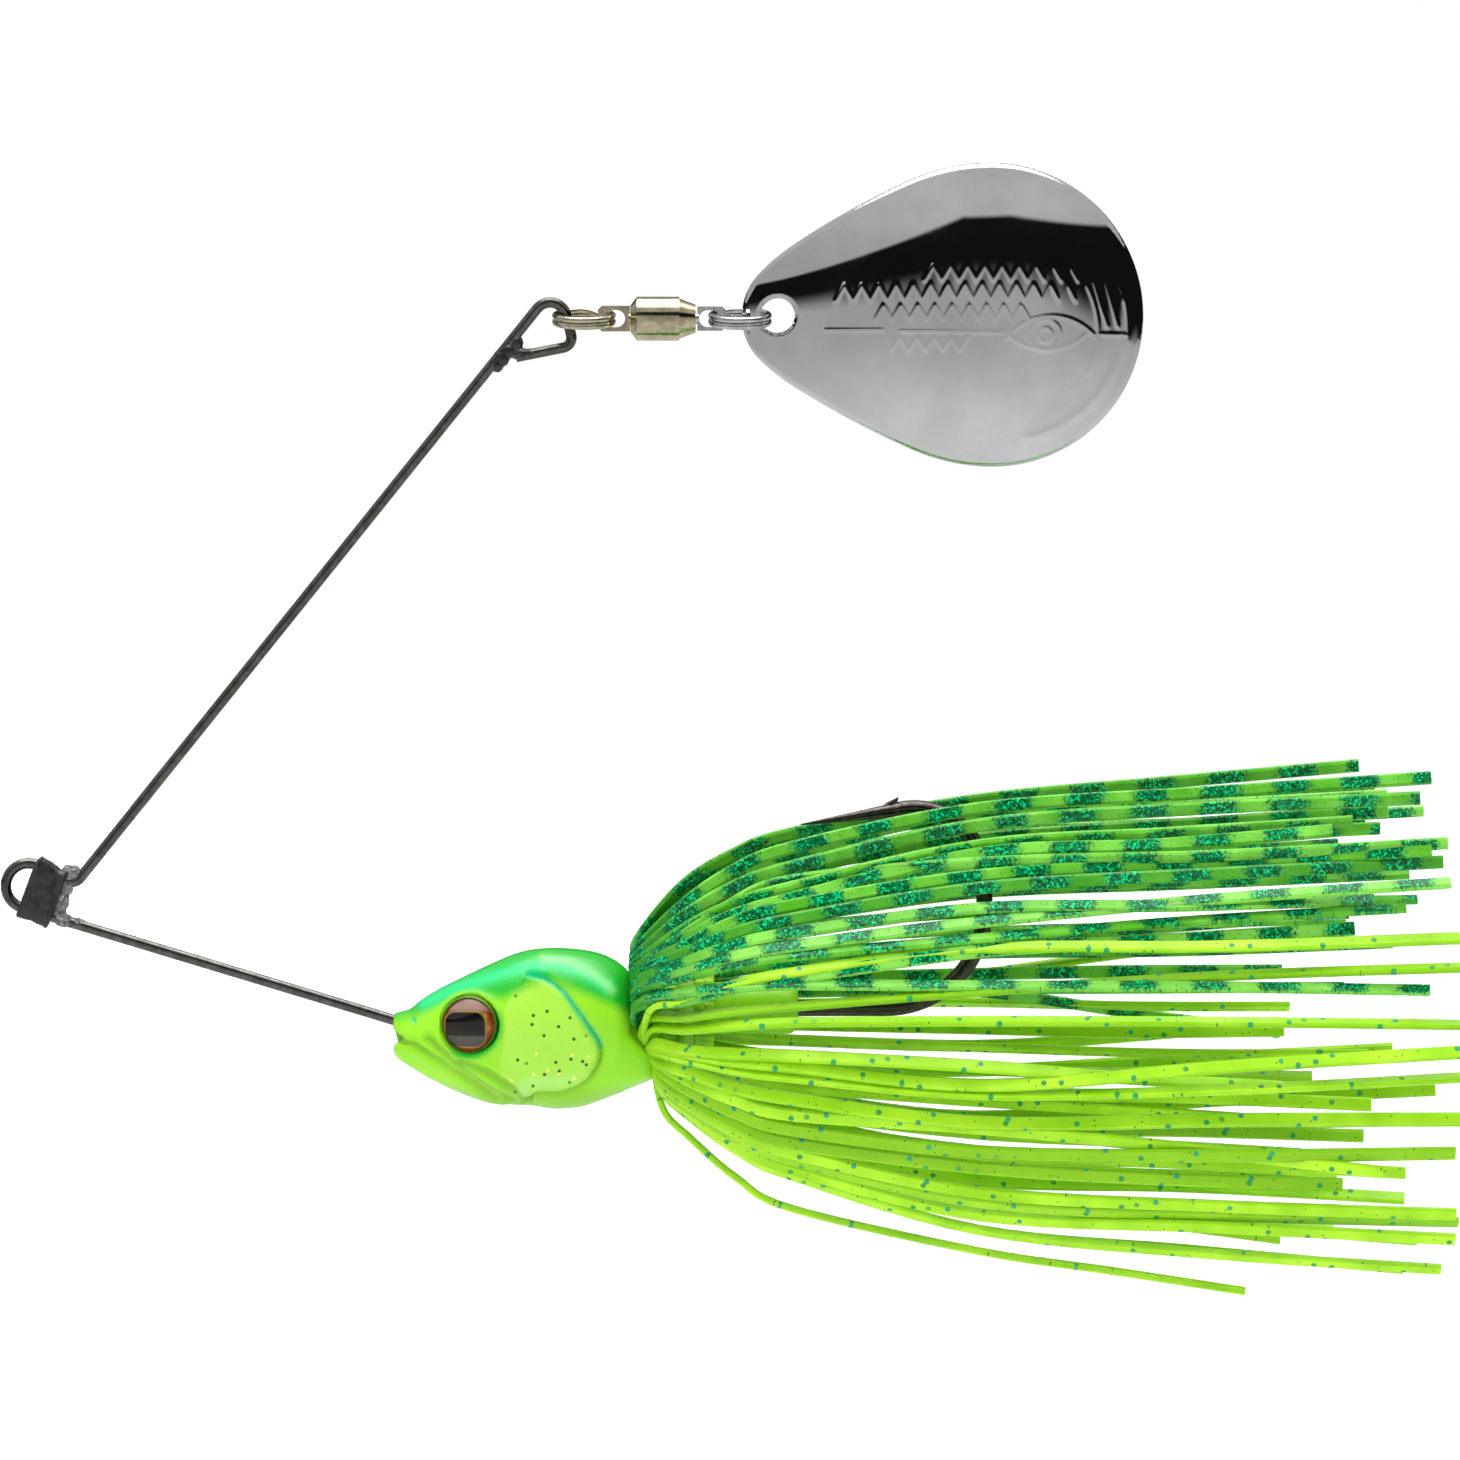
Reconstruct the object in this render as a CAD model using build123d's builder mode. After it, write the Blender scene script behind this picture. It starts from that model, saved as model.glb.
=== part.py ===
from build123d import *
import os
from math import cos, radians, sin, sqrt

# Spinnerbait with one teardrop blade, in millimetres.
# Origin: centre of the line tie's opening. +X runs back to the skirt's tail, +Z is up
# through the blade and the hook point, and the bait is symmetric about the XZ plane.

# ---------------------------------------------------------------- driving dimensions

# wire arm: one hard wire, bent in the XZ plane
WIRE_RADIUS = 0.4
TIE_CENTRE = (0.79, -0.15)
TIE_RADIUS = 1.7
LEG_SLOPE = 16.8
HEEL_SLOPE = 28.0
ARM_SLOPE = 51.25
TAIL_X = 35.6
TAIL_TOP = -7.4
LOOP_TOP = (40.53, 45.14)
LOOP_BACK = (41.67, 40.38)
LOOP_END = (37.35, 39.52)
ELBOW_BEND = 1.2
HEEL_BEND = 0.8
LOOP_TOP_BEND = 1.26
LOOP_BACK_BEND = 0.75

# solder that closes the blade loop, run into the corner between wire end and arm
SOLDER_CENTRE = (36.75, 40.05)
SOLDER_RADIUS = 0.95
SOLDER_FLATTENING = 0.62

# rubber sleeve over the two wires behind the line tie
SLEEVE_CENTRE = (1.89, -0.63)
SLEEVE_SLOPE = 22.0
SLEEVE_LENGTH = 2.45
SLEEVE_HEIGHT = 4.95
SLEEVE_WIDTH = 1.7
SLEEVE_WALL = 0.3
SLEEVE_CORNER_SHARE = 0.35
GLUE_PROUD = 0.45

# hook: shank level, bend in two radii, point leg sloping back down to the point
SHANK_Z = -9.3
HOOK_RADIUS = 0.62
HOOK_EYE_RADIUS = 1.15
HOOK_EYE_WIRE_RADIUS = 0.6
HOOK_BEND_X = 65.1
HOOK_LOWER_BEND = 7.4
HOOK_UPPER_BEND = 5.2
HOOK_THROAT = 2.3
HOOK_POINT_LEG = 7.85
HOOK_POINT_RADIUS = 0.06
HOOK_LOWER_TURN = 92.0
HOOK_UPPER_TURN = 96.5
BARB_SETBACK = 1.6
BARB_SINK = 0.3
BARB_HEIGHT = 0.3
BARB_LENGTH = 1.1
BARB_LEAN = 0.1
BARB_UNDERCUT = 0.15
BARB_THICKNESS = 0.5

# head: upright oval sections, each (x, top z, bottom z, half width)
SKULL_SECTIONS = [
    (28.3, -9.8, -12.9, 1.0),
    (29.3, -9.4, -13.65, 1.9),
    (31.4, -7.95, -14.85, 3.0),
    (33.6, -6.86, -15.9, 3.75),
    (36.15, -5.7, -16.55, 4.35),
    (39.15, -4.8, -16.75, 4.7),
    (41.8, -4.85, -16.8, 4.75),
    (44.0, -5.36, -16.1, 4.4),
    (45.3, -6.04, -15.5, 3.9),
    (45.9, -6.85, -15.26, 3.5),
]
GILL_SECTIONS = [
    (45.9, -6.85, -15.26, 3.5),
    (46.2, -10.6, -15.15, 3.0),
    (47.8, -13.35, -14.4, 0.9),
]
MOUTH_CORNER = (28.95, -11.75)
MOUTH_GAPE = 0.9
MOUTH_DEPTH = 1.2
STEM_RADIUS = 1.95
STEM_END = 58.5
STEM_RIM_FILLET = 0.78
STEM_RING_X = 53.55
STEM_RING_WIDTH = 0.2
STEM_RING_DEPTH = 0.1

# eyes: a printed disc in a shallow seat, under a clear dome
EYE_CENTRE = (33.97, 3.2, -10.45)
EYE_TURN = 12.0
EYE_RADIUS = 2.0
EYE_SEAT_RADIUS = 2.06
EYE_SEAT_CUT = 2.0
EYE_DISC_THICKNESS = 0.25
EYE_DOME_HEIGHT = 0.75

# swivel chain: rings and swivel in line along X at this height
CHAIN_Z = 42.4
RING_ROLL = 13.0
RING_WIRE_RADIUS = 0.25
RING_COIL_OFFSET = 0.235
ARM_RING_LEFT = 40.30
ARM_RING_RIGHT = 44.60
BLADE_RING_LEFT = 52.00
BLADE_RING_RIGHT = 56.30

FRONT_EYE_END = 43.5
FRONT_EYE_HEIGHT = 1.9
FRONT_EYE_THICKNESS = 0.7
FRONT_EYE_SLOT = 0.66
REAR_EYE_START = 50.95
REAR_EYE_END = 53.1
REAR_EYE_HEIGHT = 1.8
REAR_EYE_THICKNESS = 0.6
REAR_EYE_SLOT = 0.64
EYE_SLOT_TRAVEL = 0.28
EYE_CHAMFER = 0.3
EYE_ROOT_OVERLAP = 0.1

BARREL_FRONT = 45.94
BARREL_SHOULDER = 46.42
BARREL_REAR = 49.60
BARREL_RADIUS = 1.65
BARREL_FACE_RADIUS = 1.0
BARREL_BORE_RADIUS = 1.25
BARREL_BORE_FRONT = 46.85
NECK_RADIUS = 0.45
NECK_HOLE_RADIUS = 0.47
NECK_GAP = 0.04
RIVET_RADIUS = 0.8
RIVET_THICKNESS = 0.38
RIVET_GAP = 0.02
CAP_SPIGOT_FRONT = 48.77
CAP_SPIGOT_RADIUS = 1.23
CAP_STEP_RADIUS = 1.5
CAP_SEAT_GAP = 0.01
CAP_NOSE = 50.82
CAP_NOSE_RADIUS = 1.05
SHAFT_RADIUS = 0.42
SHAFT_HOLE_RADIUS = 0.50
SHAFT_HEAD_X = 47.55
SHAFT_HEAD_RADIUS = 0.85
SHAFT_HEAD_THICKNESS = 0.4
WASHER_X = 47.97
WASHER_THICKNESS = 0.2
WASHER_RADIUS = 1.15
BALL_X = 48.47
BALL_RADIUS = 0.28
BALL_CIRCLE = 0.82
BALL_COUNT = 8

# blade: teardrop outline pressed to part of a ball, rounded face towards -Y
BLADE_Z = 42.6
BLADE_BALL_RADIUS = 27.0
BLADE_BALL_X = 70.5
BLADE_FACE_Y = -4.6
BLADE_THICKNESS = 0.44
BLADE_HOLE_X = 56.95
BLADE_HOLE_RADIUS = 1.3
BLADE_ROUND_X = 73.01
BLADE_HALF_WIDTH = 11.36
# arcs of the upper edge from the widest place to the holed end: (radius, turn)
BLADE_FLANK_ARCS = [(15.0, 24.0), (63.0, 9.2), (14.3, 12.9)]

# skirt: strands folded in two under a rubber band on the stem
STRAND_WIDTH = 1.0
STRAND_THICKNESS = 0.5
WAIST_FRONT = 48.1
WAIST_REAR = 52.2
WAIST_RADIUS = 3.0
STRAND_ROOT_RADIUS = 2.7
BAND_FRONT = 49.5
BAND_REAR = 50.7
BAND_RADIUS = 3.6
SKIRT_FLATNESS = 0.68
SKIRT_TAIL = 103.5
SKIRT_RAGGEDNESS = 3.2
SKIRT_RAGGED_STEP = 2.4
SKIRT_BELLY_DROOP = 5.0
SKIRT_TAIL_SPREAD = 2.4
BARRED_REACH = 96.0


# ------------------------------------------------------------------ shared geometry


def meet(point_a, heading_a, point_b, heading_b):
    """Where two lines in the XZ plane cross, each given by a point and a heading."""
    ax, az = cos(radians(heading_a)), sin(radians(heading_a))
    bx, bz = cos(radians(heading_b)), sin(radians(heading_b))
    dx, dz = point_b[0] - point_a[0], point_b[1] - point_a[1]
    along = (dx * bz - dz * bx) / (ax * bz - az * bx)
    return (point_a[0] + along * ax, point_a[1] + along * az)


def across_chain(x):
    """The plane square to the swivel chain at x, with its normal along +X."""
    return Plane(origin=(x, 0, CHAIN_Z), x_dir=(0, 1, 0), z_dir=(1, 0, 0))


def across_shank(x):
    """The plane square to the hook's shank at x, with its normal along +X."""
    return Plane(origin=(x, 0, SHANK_Z), x_dir=(0, 1, 0), z_dir=(1, 0, 0))


def finish(piece, name):
    """Label a piece and write it to its own file."""
    piece.part.label = name
    export_step(piece.part, f"parts/{name}.step")


os.makedirs("parts", exist_ok=True)
chain_axis = Axis((0, 0, CHAIN_Z), (1, 0, 0))
ring_axis_dir = (0, -sin(radians(RING_ROLL)), cos(radians(RING_ROLL)))

# ------------------------------------------------------------------------- wire arm

leg_start = (
    TIE_CENTRE[0] - TIE_RADIUS * sin(radians(LEG_SLOPE)),
    TIE_CENTRE[1] - TIE_RADIUS * cos(radians(LEG_SLOPE)),
)
run_start = (
    TIE_CENTRE[0] + TIE_RADIUS * sin(radians(HEEL_SLOPE)),
    TIE_CENTRE[1] + TIE_RADIUS * cos(radians(HEEL_SLOPE)),
)
elbow = meet(leg_start, -LEG_SLOPE, (TAIL_X, TAIL_TOP), 90)
heel = meet(run_start, -HEEL_SLOPE, LOOP_TOP, ARM_SLOPE)

with BuildPart() as arm_wire:
    with BuildLine(Plane.XZ):
        lower_leg = FilletPolyline((TAIL_X, TAIL_TOP), elbow, leg_start, radius=[ELBOW_BEND])
        line_tie = JernArc(
            start=lower_leg @ 1,
            tangent=lower_leg % 1,
            radius=TIE_RADIUS,
            arc_size=-(180 - LEG_SLOPE + HEEL_SLOPE),
        )
        upper_arm = FilletPolyline(
            line_tie @ 1,
            heel,
            LOOP_TOP,
            LOOP_BACK,
            LOOP_END,
            radius=[HEEL_BEND, LOOP_TOP_BEND, LOOP_BACK_BEND],
        )
    with BuildSketch(Plane(origin=lower_leg @ 0, z_dir=lower_leg % 0)):
        Circle(WIRE_RADIUS)
    sweep()
finish(arm_wire, "arm_wire")

with BuildPart() as loop_solder:
    with Locations((SOLDER_CENTRE[0], 0, SOLDER_CENTRE[1])):
        Sphere(SOLDER_RADIUS)
    scale(by=(1, SOLDER_FLATTENING, 1))
    add(arm_wire.part, mode=Mode.SUBTRACT)
    solder_body = loop_solder.solids().sort_by(SortBy.VOLUME)[-1]
    add(solder_body, mode=Mode.REPLACE)
finish(loop_solder, "loop_solder")

# ------------------------------------------------------------- sleeve and adhesive

sleeve_middle = Plane(
    origin=(SLEEVE_CENTRE[0], 0, SLEEVE_CENTRE[1]),
    x_dir=(0, 1, 0),
    z_dir=(cos(radians(SLEEVE_SLOPE)), 0, -sin(radians(SLEEVE_SLOPE))),
)
sleeve_corner = SLEEVE_CORNER_SHARE * SLEEVE_WIDTH
bore_width = SLEEVE_WIDTH - 2 * SLEEVE_WALL
bore_height = SLEEVE_HEIGHT - 2 * SLEEVE_WALL
bore_corner = SLEEVE_CORNER_SHARE * bore_width

with BuildPart() as tie_sleeve:
    with BuildSketch(sleeve_middle.offset(-SLEEVE_LENGTH / 2)):
        RectangleRounded(SLEEVE_WIDTH, SLEEVE_HEIGHT, sleeve_corner)
        RectangleRounded(bore_width, bore_height, bore_corner, mode=Mode.SUBTRACT)
    extrude(amount=SLEEVE_LENGTH)
    add(arm_wire.part, mode=Mode.SUBTRACT)
finish(tie_sleeve, "tie_sleeve")

with BuildPart() as tie_adhesive:
    with BuildSketch(sleeve_middle.offset(-SLEEVE_LENGTH / 2)):
        RectangleRounded(bore_width, bore_height, bore_corner)
    extrude(amount=SLEEVE_LENGTH + GLUE_PROUD)
    add(arm_wire.part, mode=Mode.SUBTRACT)
    adhesive_body = tie_adhesive.solids().sort_by(SortBy.VOLUME)[-1]
    add(adhesive_body, mode=Mode.REPLACE)
finish(tie_adhesive, "tie_adhesive")

# ----------------------------------------------------------------------------- hook

with BuildPart() as hook:
    with BuildLine(Plane.XZ):
        shank = Line((TAIL_X + HOOK_EYE_RADIUS, SHANK_Z), (HOOK_BEND_X, SHANK_Z))
        lower_bend = JernArc(shank @ 1, shank % 1, HOOK_LOWER_BEND, HOOK_LOWER_TURN)
        throat = Line(lower_bend @ 1, lower_bend @ 1 + (lower_bend % 1) * HOOK_THROAT)
        upper_bend = JernArc(throat @ 1, throat % 1, HOOK_UPPER_BEND, HOOK_UPPER_TURN)
    with BuildSketch(Plane(origin=shank @ 0, z_dir=shank % 0)):
        Circle(HOOK_RADIUS)
    sweep()
    point_plane = Plane(origin=upper_bend @ 1, x_dir=(0, 1, 0), z_dir=upper_bend % 1)
    with BuildSketch(point_plane):
        Circle(HOOK_RADIUS)
    with BuildSketch(point_plane.offset(HOOK_POINT_LEG)):
        Circle(HOOK_POINT_RADIUS)
    loft()
    # eye ring round the tail of the wire arm, its hole upright
    with BuildSketch(Plane.XZ):
        with Locations((TAIL_X - HOOK_EYE_RADIUS, SHANK_Z)):
            Circle(HOOK_EYE_WIRE_RADIUS)
    revolve(axis=Axis((TAIL_X, 0, 0), (0, 0, 1)))
    # barb raised from the outside of the point leg, its tip away from the point
    barb_foot = upper_bend @ 1 + Vector(-BARB_SETBACK, 0, HOOK_RADIUS - BARB_SINK)
    barb_tip = barb_foot + Vector(BARB_LENGTH + BARB_LEAN, 0, BARB_SINK + BARB_HEIGHT)
    with BuildSketch(Plane.XZ):
        with BuildLine():
            Polyline(
                (barb_foot.X, barb_foot.Z),
                (barb_foot.X + BARB_LENGTH, barb_foot.Z + BARB_UNDERCUT),
                (barb_tip.X, barb_tip.Z),
                close=True,
            )
        make_face()
    extrude(amount=BARB_THICKNESS / 2, both=True)
finish(hook, "hook")

# ----------------------------------------------------------------------------- head


def eye_plane(side):
    """The eye's seat, looking out to one side and a little forwards: side is -1 or 1."""
    turn = radians(EYE_TURN)
    x, y, z = EYE_CENTRE
    return Plane(origin=(x, side * y, z), x_dir=(0, 0, 1), z_dir=(-sin(turn), side * cos(turn), 0))


with BuildPart() as head:
    for sections, straight in ((SKULL_SECTIONS, False), (GILL_SECTIONS, True)):
        for x, top, bottom, half_width in sections:
            with BuildSketch(Plane.YZ.offset(x)):
                with Locations((0, (top + bottom) / 2)):
                    Ellipse(half_width, (top - bottom) / 2)
        loft(ruled=straight)
    # mouth, a wedge cut back between the lips
    with BuildSketch(Plane.XZ):
        with BuildLine():
            Polyline(
                MOUTH_CORNER,
                (MOUTH_CORNER[0] - MOUTH_DEPTH, MOUTH_CORNER[1] + MOUTH_GAPE / 2),
                (MOUTH_CORNER[0] - MOUTH_DEPTH, MOUTH_CORNER[1] - MOUTH_GAPE / 2),
                close=True,
            )
        make_face()
    extrude(amount=SKULL_SECTIONS[1][3], both=True, mode=Mode.SUBTRACT)
    # skirt stem, cast in one with the skull round the hook's shank
    with BuildSketch(across_shank(SKULL_SECTIONS[-2][0])):
        Circle(STEM_RADIUS)
    extrude(amount=STEM_END - SKULL_SECTIONS[-2][0])
    stem_rim = head.faces().sort_by(Axis.X)[-1].edges()
    fillet(stem_rim, radius=STEM_RIM_FILLET)
    with BuildSketch(across_shank(STEM_RING_X)):
        Circle(STEM_RADIUS)
        Circle(STEM_RADIUS - STEM_RING_DEPTH, mode=Mode.SUBTRACT)
    extrude(amount=STEM_RING_WIDTH, mode=Mode.SUBTRACT)
    for side in (-1, 1):
        with BuildSketch(eye_plane(side)):
            Circle(EYE_SEAT_RADIUS)
        extrude(amount=EYE_SEAT_CUT, mode=Mode.SUBTRACT)
    add(arm_wire.part, mode=Mode.SUBTRACT)
    add(hook.part, mode=Mode.SUBTRACT)
finish(head, "head")

# ----------------------------------------------------------------------------- eyes

dome_ball_radius = (EYE_RADIUS**2 + EYE_DOME_HEIGHT**2) / (2 * EYE_DOME_HEIGHT)

for side, side_name in ((-1, "left"), (1, "right")):
    seat = eye_plane(side)
    with BuildPart() as eye_iris:
        with BuildSketch(seat):
            Circle(EYE_RADIUS)
        extrude(amount=EYE_DISC_THICKNESS)
    finish(eye_iris, f"eye_iris_{side_name}")

    dome_seat = seat.offset(EYE_DISC_THICKNESS)
    with BuildPart() as eye_dome:
        with BuildSketch(dome_seat):
            Circle(EYE_RADIUS)
        extrude(amount=EYE_DOME_HEIGHT)
        ball_centre = dome_seat.offset(EYE_DOME_HEIGHT - dome_ball_radius).origin
        with Locations(ball_centre):
            Sphere(dome_ball_radius, mode=Mode.INTERSECT)
    finish(eye_dome, f"eye_dome_{side_name}")

# ------------------------------------------------------------------- swivel and rings


def split_ring(left, right):
    """A double-coil ring from its wire's middle at left to its middle at right."""
    centre = ((left + right) / 2, 0, CHAIN_Z)
    section = Plane(origin=centre, x_dir=(1, 0, 0), z_dir=Vector(1, 0, 0).cross(Vector(ring_axis_dir)))
    with BuildPart() as ring:
        with BuildSketch(section):
            for coil in (-1, 1):
                with Locations(((right - left) / 2, coil * RING_COIL_OFFSET)):
                    Circle(RING_WIRE_RADIUS)
        revolve(axis=Axis(centre, ring_axis_dir))
    return ring


def turned(profile):
    """A part turned about the chain axis from its closed (x, radius) profile."""
    with BuildPart() as piece:
        with BuildSketch(Plane.XZ):
            with BuildLine():
                Polyline(*[(x, CHAIN_Z + radius) for x, radius in profile], close=True)
            make_face()
        revolve(axis=chain_axis)
    return piece


def swivel_eye(neck, end, slot_x, height, slot_radius):
    """The outline of a flat swivel eye from its neck to its free end, with a slotted hole."""
    with BuildSketch(Plane.XZ) as tab:
        with Locations(((neck + end) / 2, CHAIN_Z)):
            Rectangle(abs(end - neck), height)
        free_corners = tab.vertices().sort_by(lambda v: abs(v.X - end))[:2]
        chamfer(free_corners, length=EYE_CHAMFER)
        with Locations((slot_x, CHAIN_Z)):
            SlotCenterToCenter(EYE_SLOT_TRAVEL, 2 * slot_radius, mode=Mode.SUBTRACT)
    return tab.sketch


arm_split_ring = split_ring(ARM_RING_LEFT, ARM_RING_RIGHT)
finish(arm_split_ring, "arm_split_ring")
blade_split_ring = split_ring(BLADE_RING_LEFT, BLADE_RING_RIGHT)
finish(blade_split_ring, "blade_split_ring")

front_neck = BARREL_FRONT - NECK_GAP
front_slot_x = ARM_RING_RIGHT + EYE_SLOT_TRAVEL / 2
front_tab = swivel_eye(
    front_neck, FRONT_EYE_END, front_slot_x, FRONT_EYE_HEIGHT, FRONT_EYE_SLOT
)

with BuildPart() as swivel_front_eye:
    extrude(front_tab, amount=FRONT_EYE_THICKNESS / 2, both=True)
    with BuildSketch(across_chain(front_neck - EYE_ROOT_OVERLAP)):
        Circle(NECK_RADIUS)
    extrude(amount=BARREL_BORE_FRONT - front_neck + 2 * EYE_ROOT_OVERLAP)
    with BuildSketch(across_chain(BARREL_BORE_FRONT + RIVET_GAP)):
        Circle(RIVET_RADIUS)
    extrude(amount=RIVET_THICKNESS)
finish(swivel_front_eye, "swivel_front_eye")

swivel_barrel = turned(
    [
        (BARREL_FRONT, NECK_HOLE_RADIUS),
        (BARREL_FRONT, BARREL_FACE_RADIUS),
        (BARREL_SHOULDER, BARREL_RADIUS),
        (BARREL_REAR, BARREL_RADIUS),
        (BARREL_REAR, BARREL_BORE_RADIUS),
        (BARREL_BORE_FRONT, BARREL_BORE_RADIUS),
        (BARREL_BORE_FRONT, NECK_HOLE_RADIUS),
    ]
)
finish(swivel_barrel, "swivel_barrel")

swivel_cap = turned(
    [
        (CAP_SPIGOT_FRONT, SHAFT_HOLE_RADIUS),
        (CAP_SPIGOT_FRONT, CAP_SPIGOT_RADIUS),
        (BARREL_REAR + CAP_SEAT_GAP, CAP_SPIGOT_RADIUS),
        (BARREL_REAR + CAP_SEAT_GAP, CAP_STEP_RADIUS),
        (CAP_NOSE, CAP_NOSE_RADIUS),
        (CAP_NOSE, SHAFT_HOLE_RADIUS),
    ]
)
finish(swivel_cap, "swivel_cap")

rear_slot_x = BLADE_RING_LEFT - EYE_SLOT_TRAVEL / 2
rear_tab = swivel_eye(
    REAR_EYE_START, REAR_EYE_END, rear_slot_x, REAR_EYE_HEIGHT, REAR_EYE_SLOT
)

with BuildPart() as swivel_rear_eye:
    extrude(rear_tab, amount=REAR_EYE_THICKNESS / 2, both=True)
    with BuildSketch(across_chain(SHAFT_HEAD_X)):
        Circle(SHAFT_RADIUS)
    extrude(amount=REAR_EYE_START + EYE_ROOT_OVERLAP - SHAFT_HEAD_X)
    with BuildSketch(across_chain(SHAFT_HEAD_X)):
        Circle(SHAFT_HEAD_RADIUS)
    extrude(amount=SHAFT_HEAD_THICKNESS)
finish(swivel_rear_eye, "swivel_rear_eye")

with BuildPart() as bearing_washer:
    with BuildSketch(across_chain(WASHER_X)):
        Circle(WASHER_RADIUS)
        Circle(SHAFT_HOLE_RADIUS, mode=Mode.SUBTRACT)
    extrude(amount=WASHER_THICKNESS)
finish(bearing_washer, "bearing_washer")

with BuildPart(across_chain(BALL_X)) as bearing_balls:
    with PolarLocations(BALL_CIRCLE, BALL_COUNT):
        Sphere(BALL_RADIUS)
finish(bearing_balls, "bearing_balls")

# ---------------------------------------------------------------------------- blade

blade_plane = Plane(origin=(BLADE_ROUND_X, 0, BLADE_Z), x_dir=(1, 0, 0), z_dir=(0, -1, 0))
ball_centre = (BLADE_BALL_X, BLADE_FACE_Y + BLADE_BALL_RADIUS, BLADE_Z)

with BuildPart() as blade:
    with BuildSketch(blade_plane.offset(-BLADE_FACE_Y)):
        with BuildLine():
            JernArc((0, BLADE_HALF_WIDTH), (1, 0), BLADE_HALF_WIDTH, -90)
            edge_end, edge_heading = Vector(0, BLADE_HALF_WIDTH), Vector(-1, 0)
            for radius, turn in BLADE_FLANK_ARCS:
                flank = JernArc(edge_end, edge_heading, radius, turn)
                edge_end, edge_heading = flank @ 1, flank % 1
            tip_turn = 90 - sum(turn for radius, turn in BLADE_FLANK_ARCS)
            JernArc(edge_end, edge_heading, edge_end.Y / cos(radians(90 - tip_turn)), tip_turn)
            mirror(about=Plane.XZ)
        make_face()
        with Locations((BLADE_HOLE_X - BLADE_ROUND_X, 0)):
            Circle(BLADE_HOLE_RADIUS, mode=Mode.SUBTRACT)
    extrude(amount=-2 * abs(BLADE_FACE_Y))
    with Locations(ball_centre):
        Sphere(BLADE_BALL_RADIUS, mode=Mode.INTERSECT)
        Sphere(BLADE_BALL_RADIUS - BLADE_THICKNESS, mode=Mode.SUBTRACT)
finish(blade, "blade")

# ---------------------------------------------------------------------------- skirt

with BuildPart() as skirt_bundle:
    with BuildSketch(across_shank(WAIST_FRONT)):
        Circle(WAIST_RADIUS)
        Circle(STEM_RADIUS, mode=Mode.SUBTRACT)
    extrude(amount=WAIST_REAR - WAIST_FRONT)
finish(skirt_bundle, "skirt_bundle")

with BuildPart() as skirt_band:
    with BuildSketch(across_shank(BAND_FRONT)):
        Circle(BAND_RADIUS)
        Circle(WAIST_RADIUS, mode=Mode.SUBTRACT)
    extrude(amount=BAND_REAR - BAND_FRONT)
finish(skirt_band, "skirt_band")


# Each layer of legs: how many, the half angle left free over the hook gap, where they
# leave the waist, how far they stand out before turning back, how far they lean
# forwards, and the radii and headings of the turn back and of the long sweep after it.
SKIRT_LAYERS = {
    "front_outer": dict(
        count=15, free=10.5, x=48.45, stand=1.3, lean=28, turn=6.2, settle=28, sweep=36, tail=5.8
    ),
    "front_inner": dict(
        count=15, free=16.0, x=49.15, stand=1.3, lean=6, turn=3.9, settle=26, sweep=32, tail=3.6
    ),
    "rear_outer": dict(
        count=14, free=22.5, x=51.05, stand=0.8, lean=-12, turn=3.0, settle=22, sweep=30, tail=2.4
    ),
    "rear_inner": dict(
        count=13, free=35.0, x=51.75, stand=0.5, lean=-32, turn=2.2, settle=14, sweep=26, tail=1.2
    ),
}


def strand_angles(count, free):
    """Angles round the shank from straight up, even but for the gap over the hook."""
    step = (360 - 2 * free) / (count - 1)
    return [free + k * step for k in range(count)]


def strand_leg(layer, angle, end_x):
    """One leg of a strand, in the half plane at this angle round the shank."""
    up = cos(radians(angle))
    flat = 1 / sqrt(up**2 + (sin(radians(angle)) / SKIRT_FLATNESS) ** 2)
    radial = (0, sin(radians(angle)), up)
    side = Vector(1, 0, 0).cross(Vector(radial))
    plane = Plane(origin=(0, 0, SHANK_Z), x_dir=(1, 0, 0), z_dir=side)
    leaning = 90 + layer["lean"] * (max(up, 0) if layer["lean"] > 0 else 1)
    settle = layer["settle"] + SKIRT_BELLY_DROOP * flat * max(-up, 0)
    tail = layer["tail"] - SKIRT_TAIL_SPREAD * up
    with BuildPart() as leg:
        with BuildLine(plane):
            root = (layer["x"], STRAND_ROOT_RADIUS)
            stub = PolarLine(root, layer["stand"], leaning)
            turn_back = JernArc(stub @ 1, stub % 1, layer["turn"] * flat, settle - leaning)
            sweep_back = JernArc(
                turn_back @ 1, turn_back % 1, layer["sweep"] * flat, tail - settle
            )
            rest = (end_x - (sweep_back @ 1).X) / cos(radians(tail))
            Line(sweep_back @ 1, sweep_back @ 1 + (sweep_back % 1) * rest)
        with BuildSketch(Plane(origin=stub @ 0, x_dir=side, z_dir=stub % 0)):
            Rectangle(STRAND_WIDTH, STRAND_THICKNESS)
        sweep()
    return leg.part


def leg_group(layer_names, barred):
    """All the legs of these layers that are barred (upper) or plain (lower)."""
    legs = []
    for name in layer_names:
        layer = SKIRT_LAYERS[name]
        for k, angle in enumerate(strand_angles(layer["count"], layer["free"])):
            upper = min(angle, 360 - angle) < BARRED_REACH
            if upper == barred:
                ragged = sin(SKIRT_RAGGED_STEP * k + layer["x"])
                end_x = SKIRT_TAIL + SKIRT_RAGGEDNESS * ragged
                legs.append(strand_leg(layer, angle, end_x))
    with BuildPart() as group:
        add(legs)
        add(skirt_bundle.part, mode=Mode.SUBTRACT)
    return group


for half, layer_names in (
    ("front", ("front_outer", "front_inner")),
    ("rear", ("rear_outer", "rear_inner")),
):
    for colour, barred in (("barred", True), ("lime", False)):
        finish(leg_group(layer_names, barred), f"skirt_{colour}_{half}")
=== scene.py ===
from math import cos, pi, radians, sin

import bmesh
import bpy
import numpy as np
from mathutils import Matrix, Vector, noise
from mathutils.geometry import delaunay_2d_cdt


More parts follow.
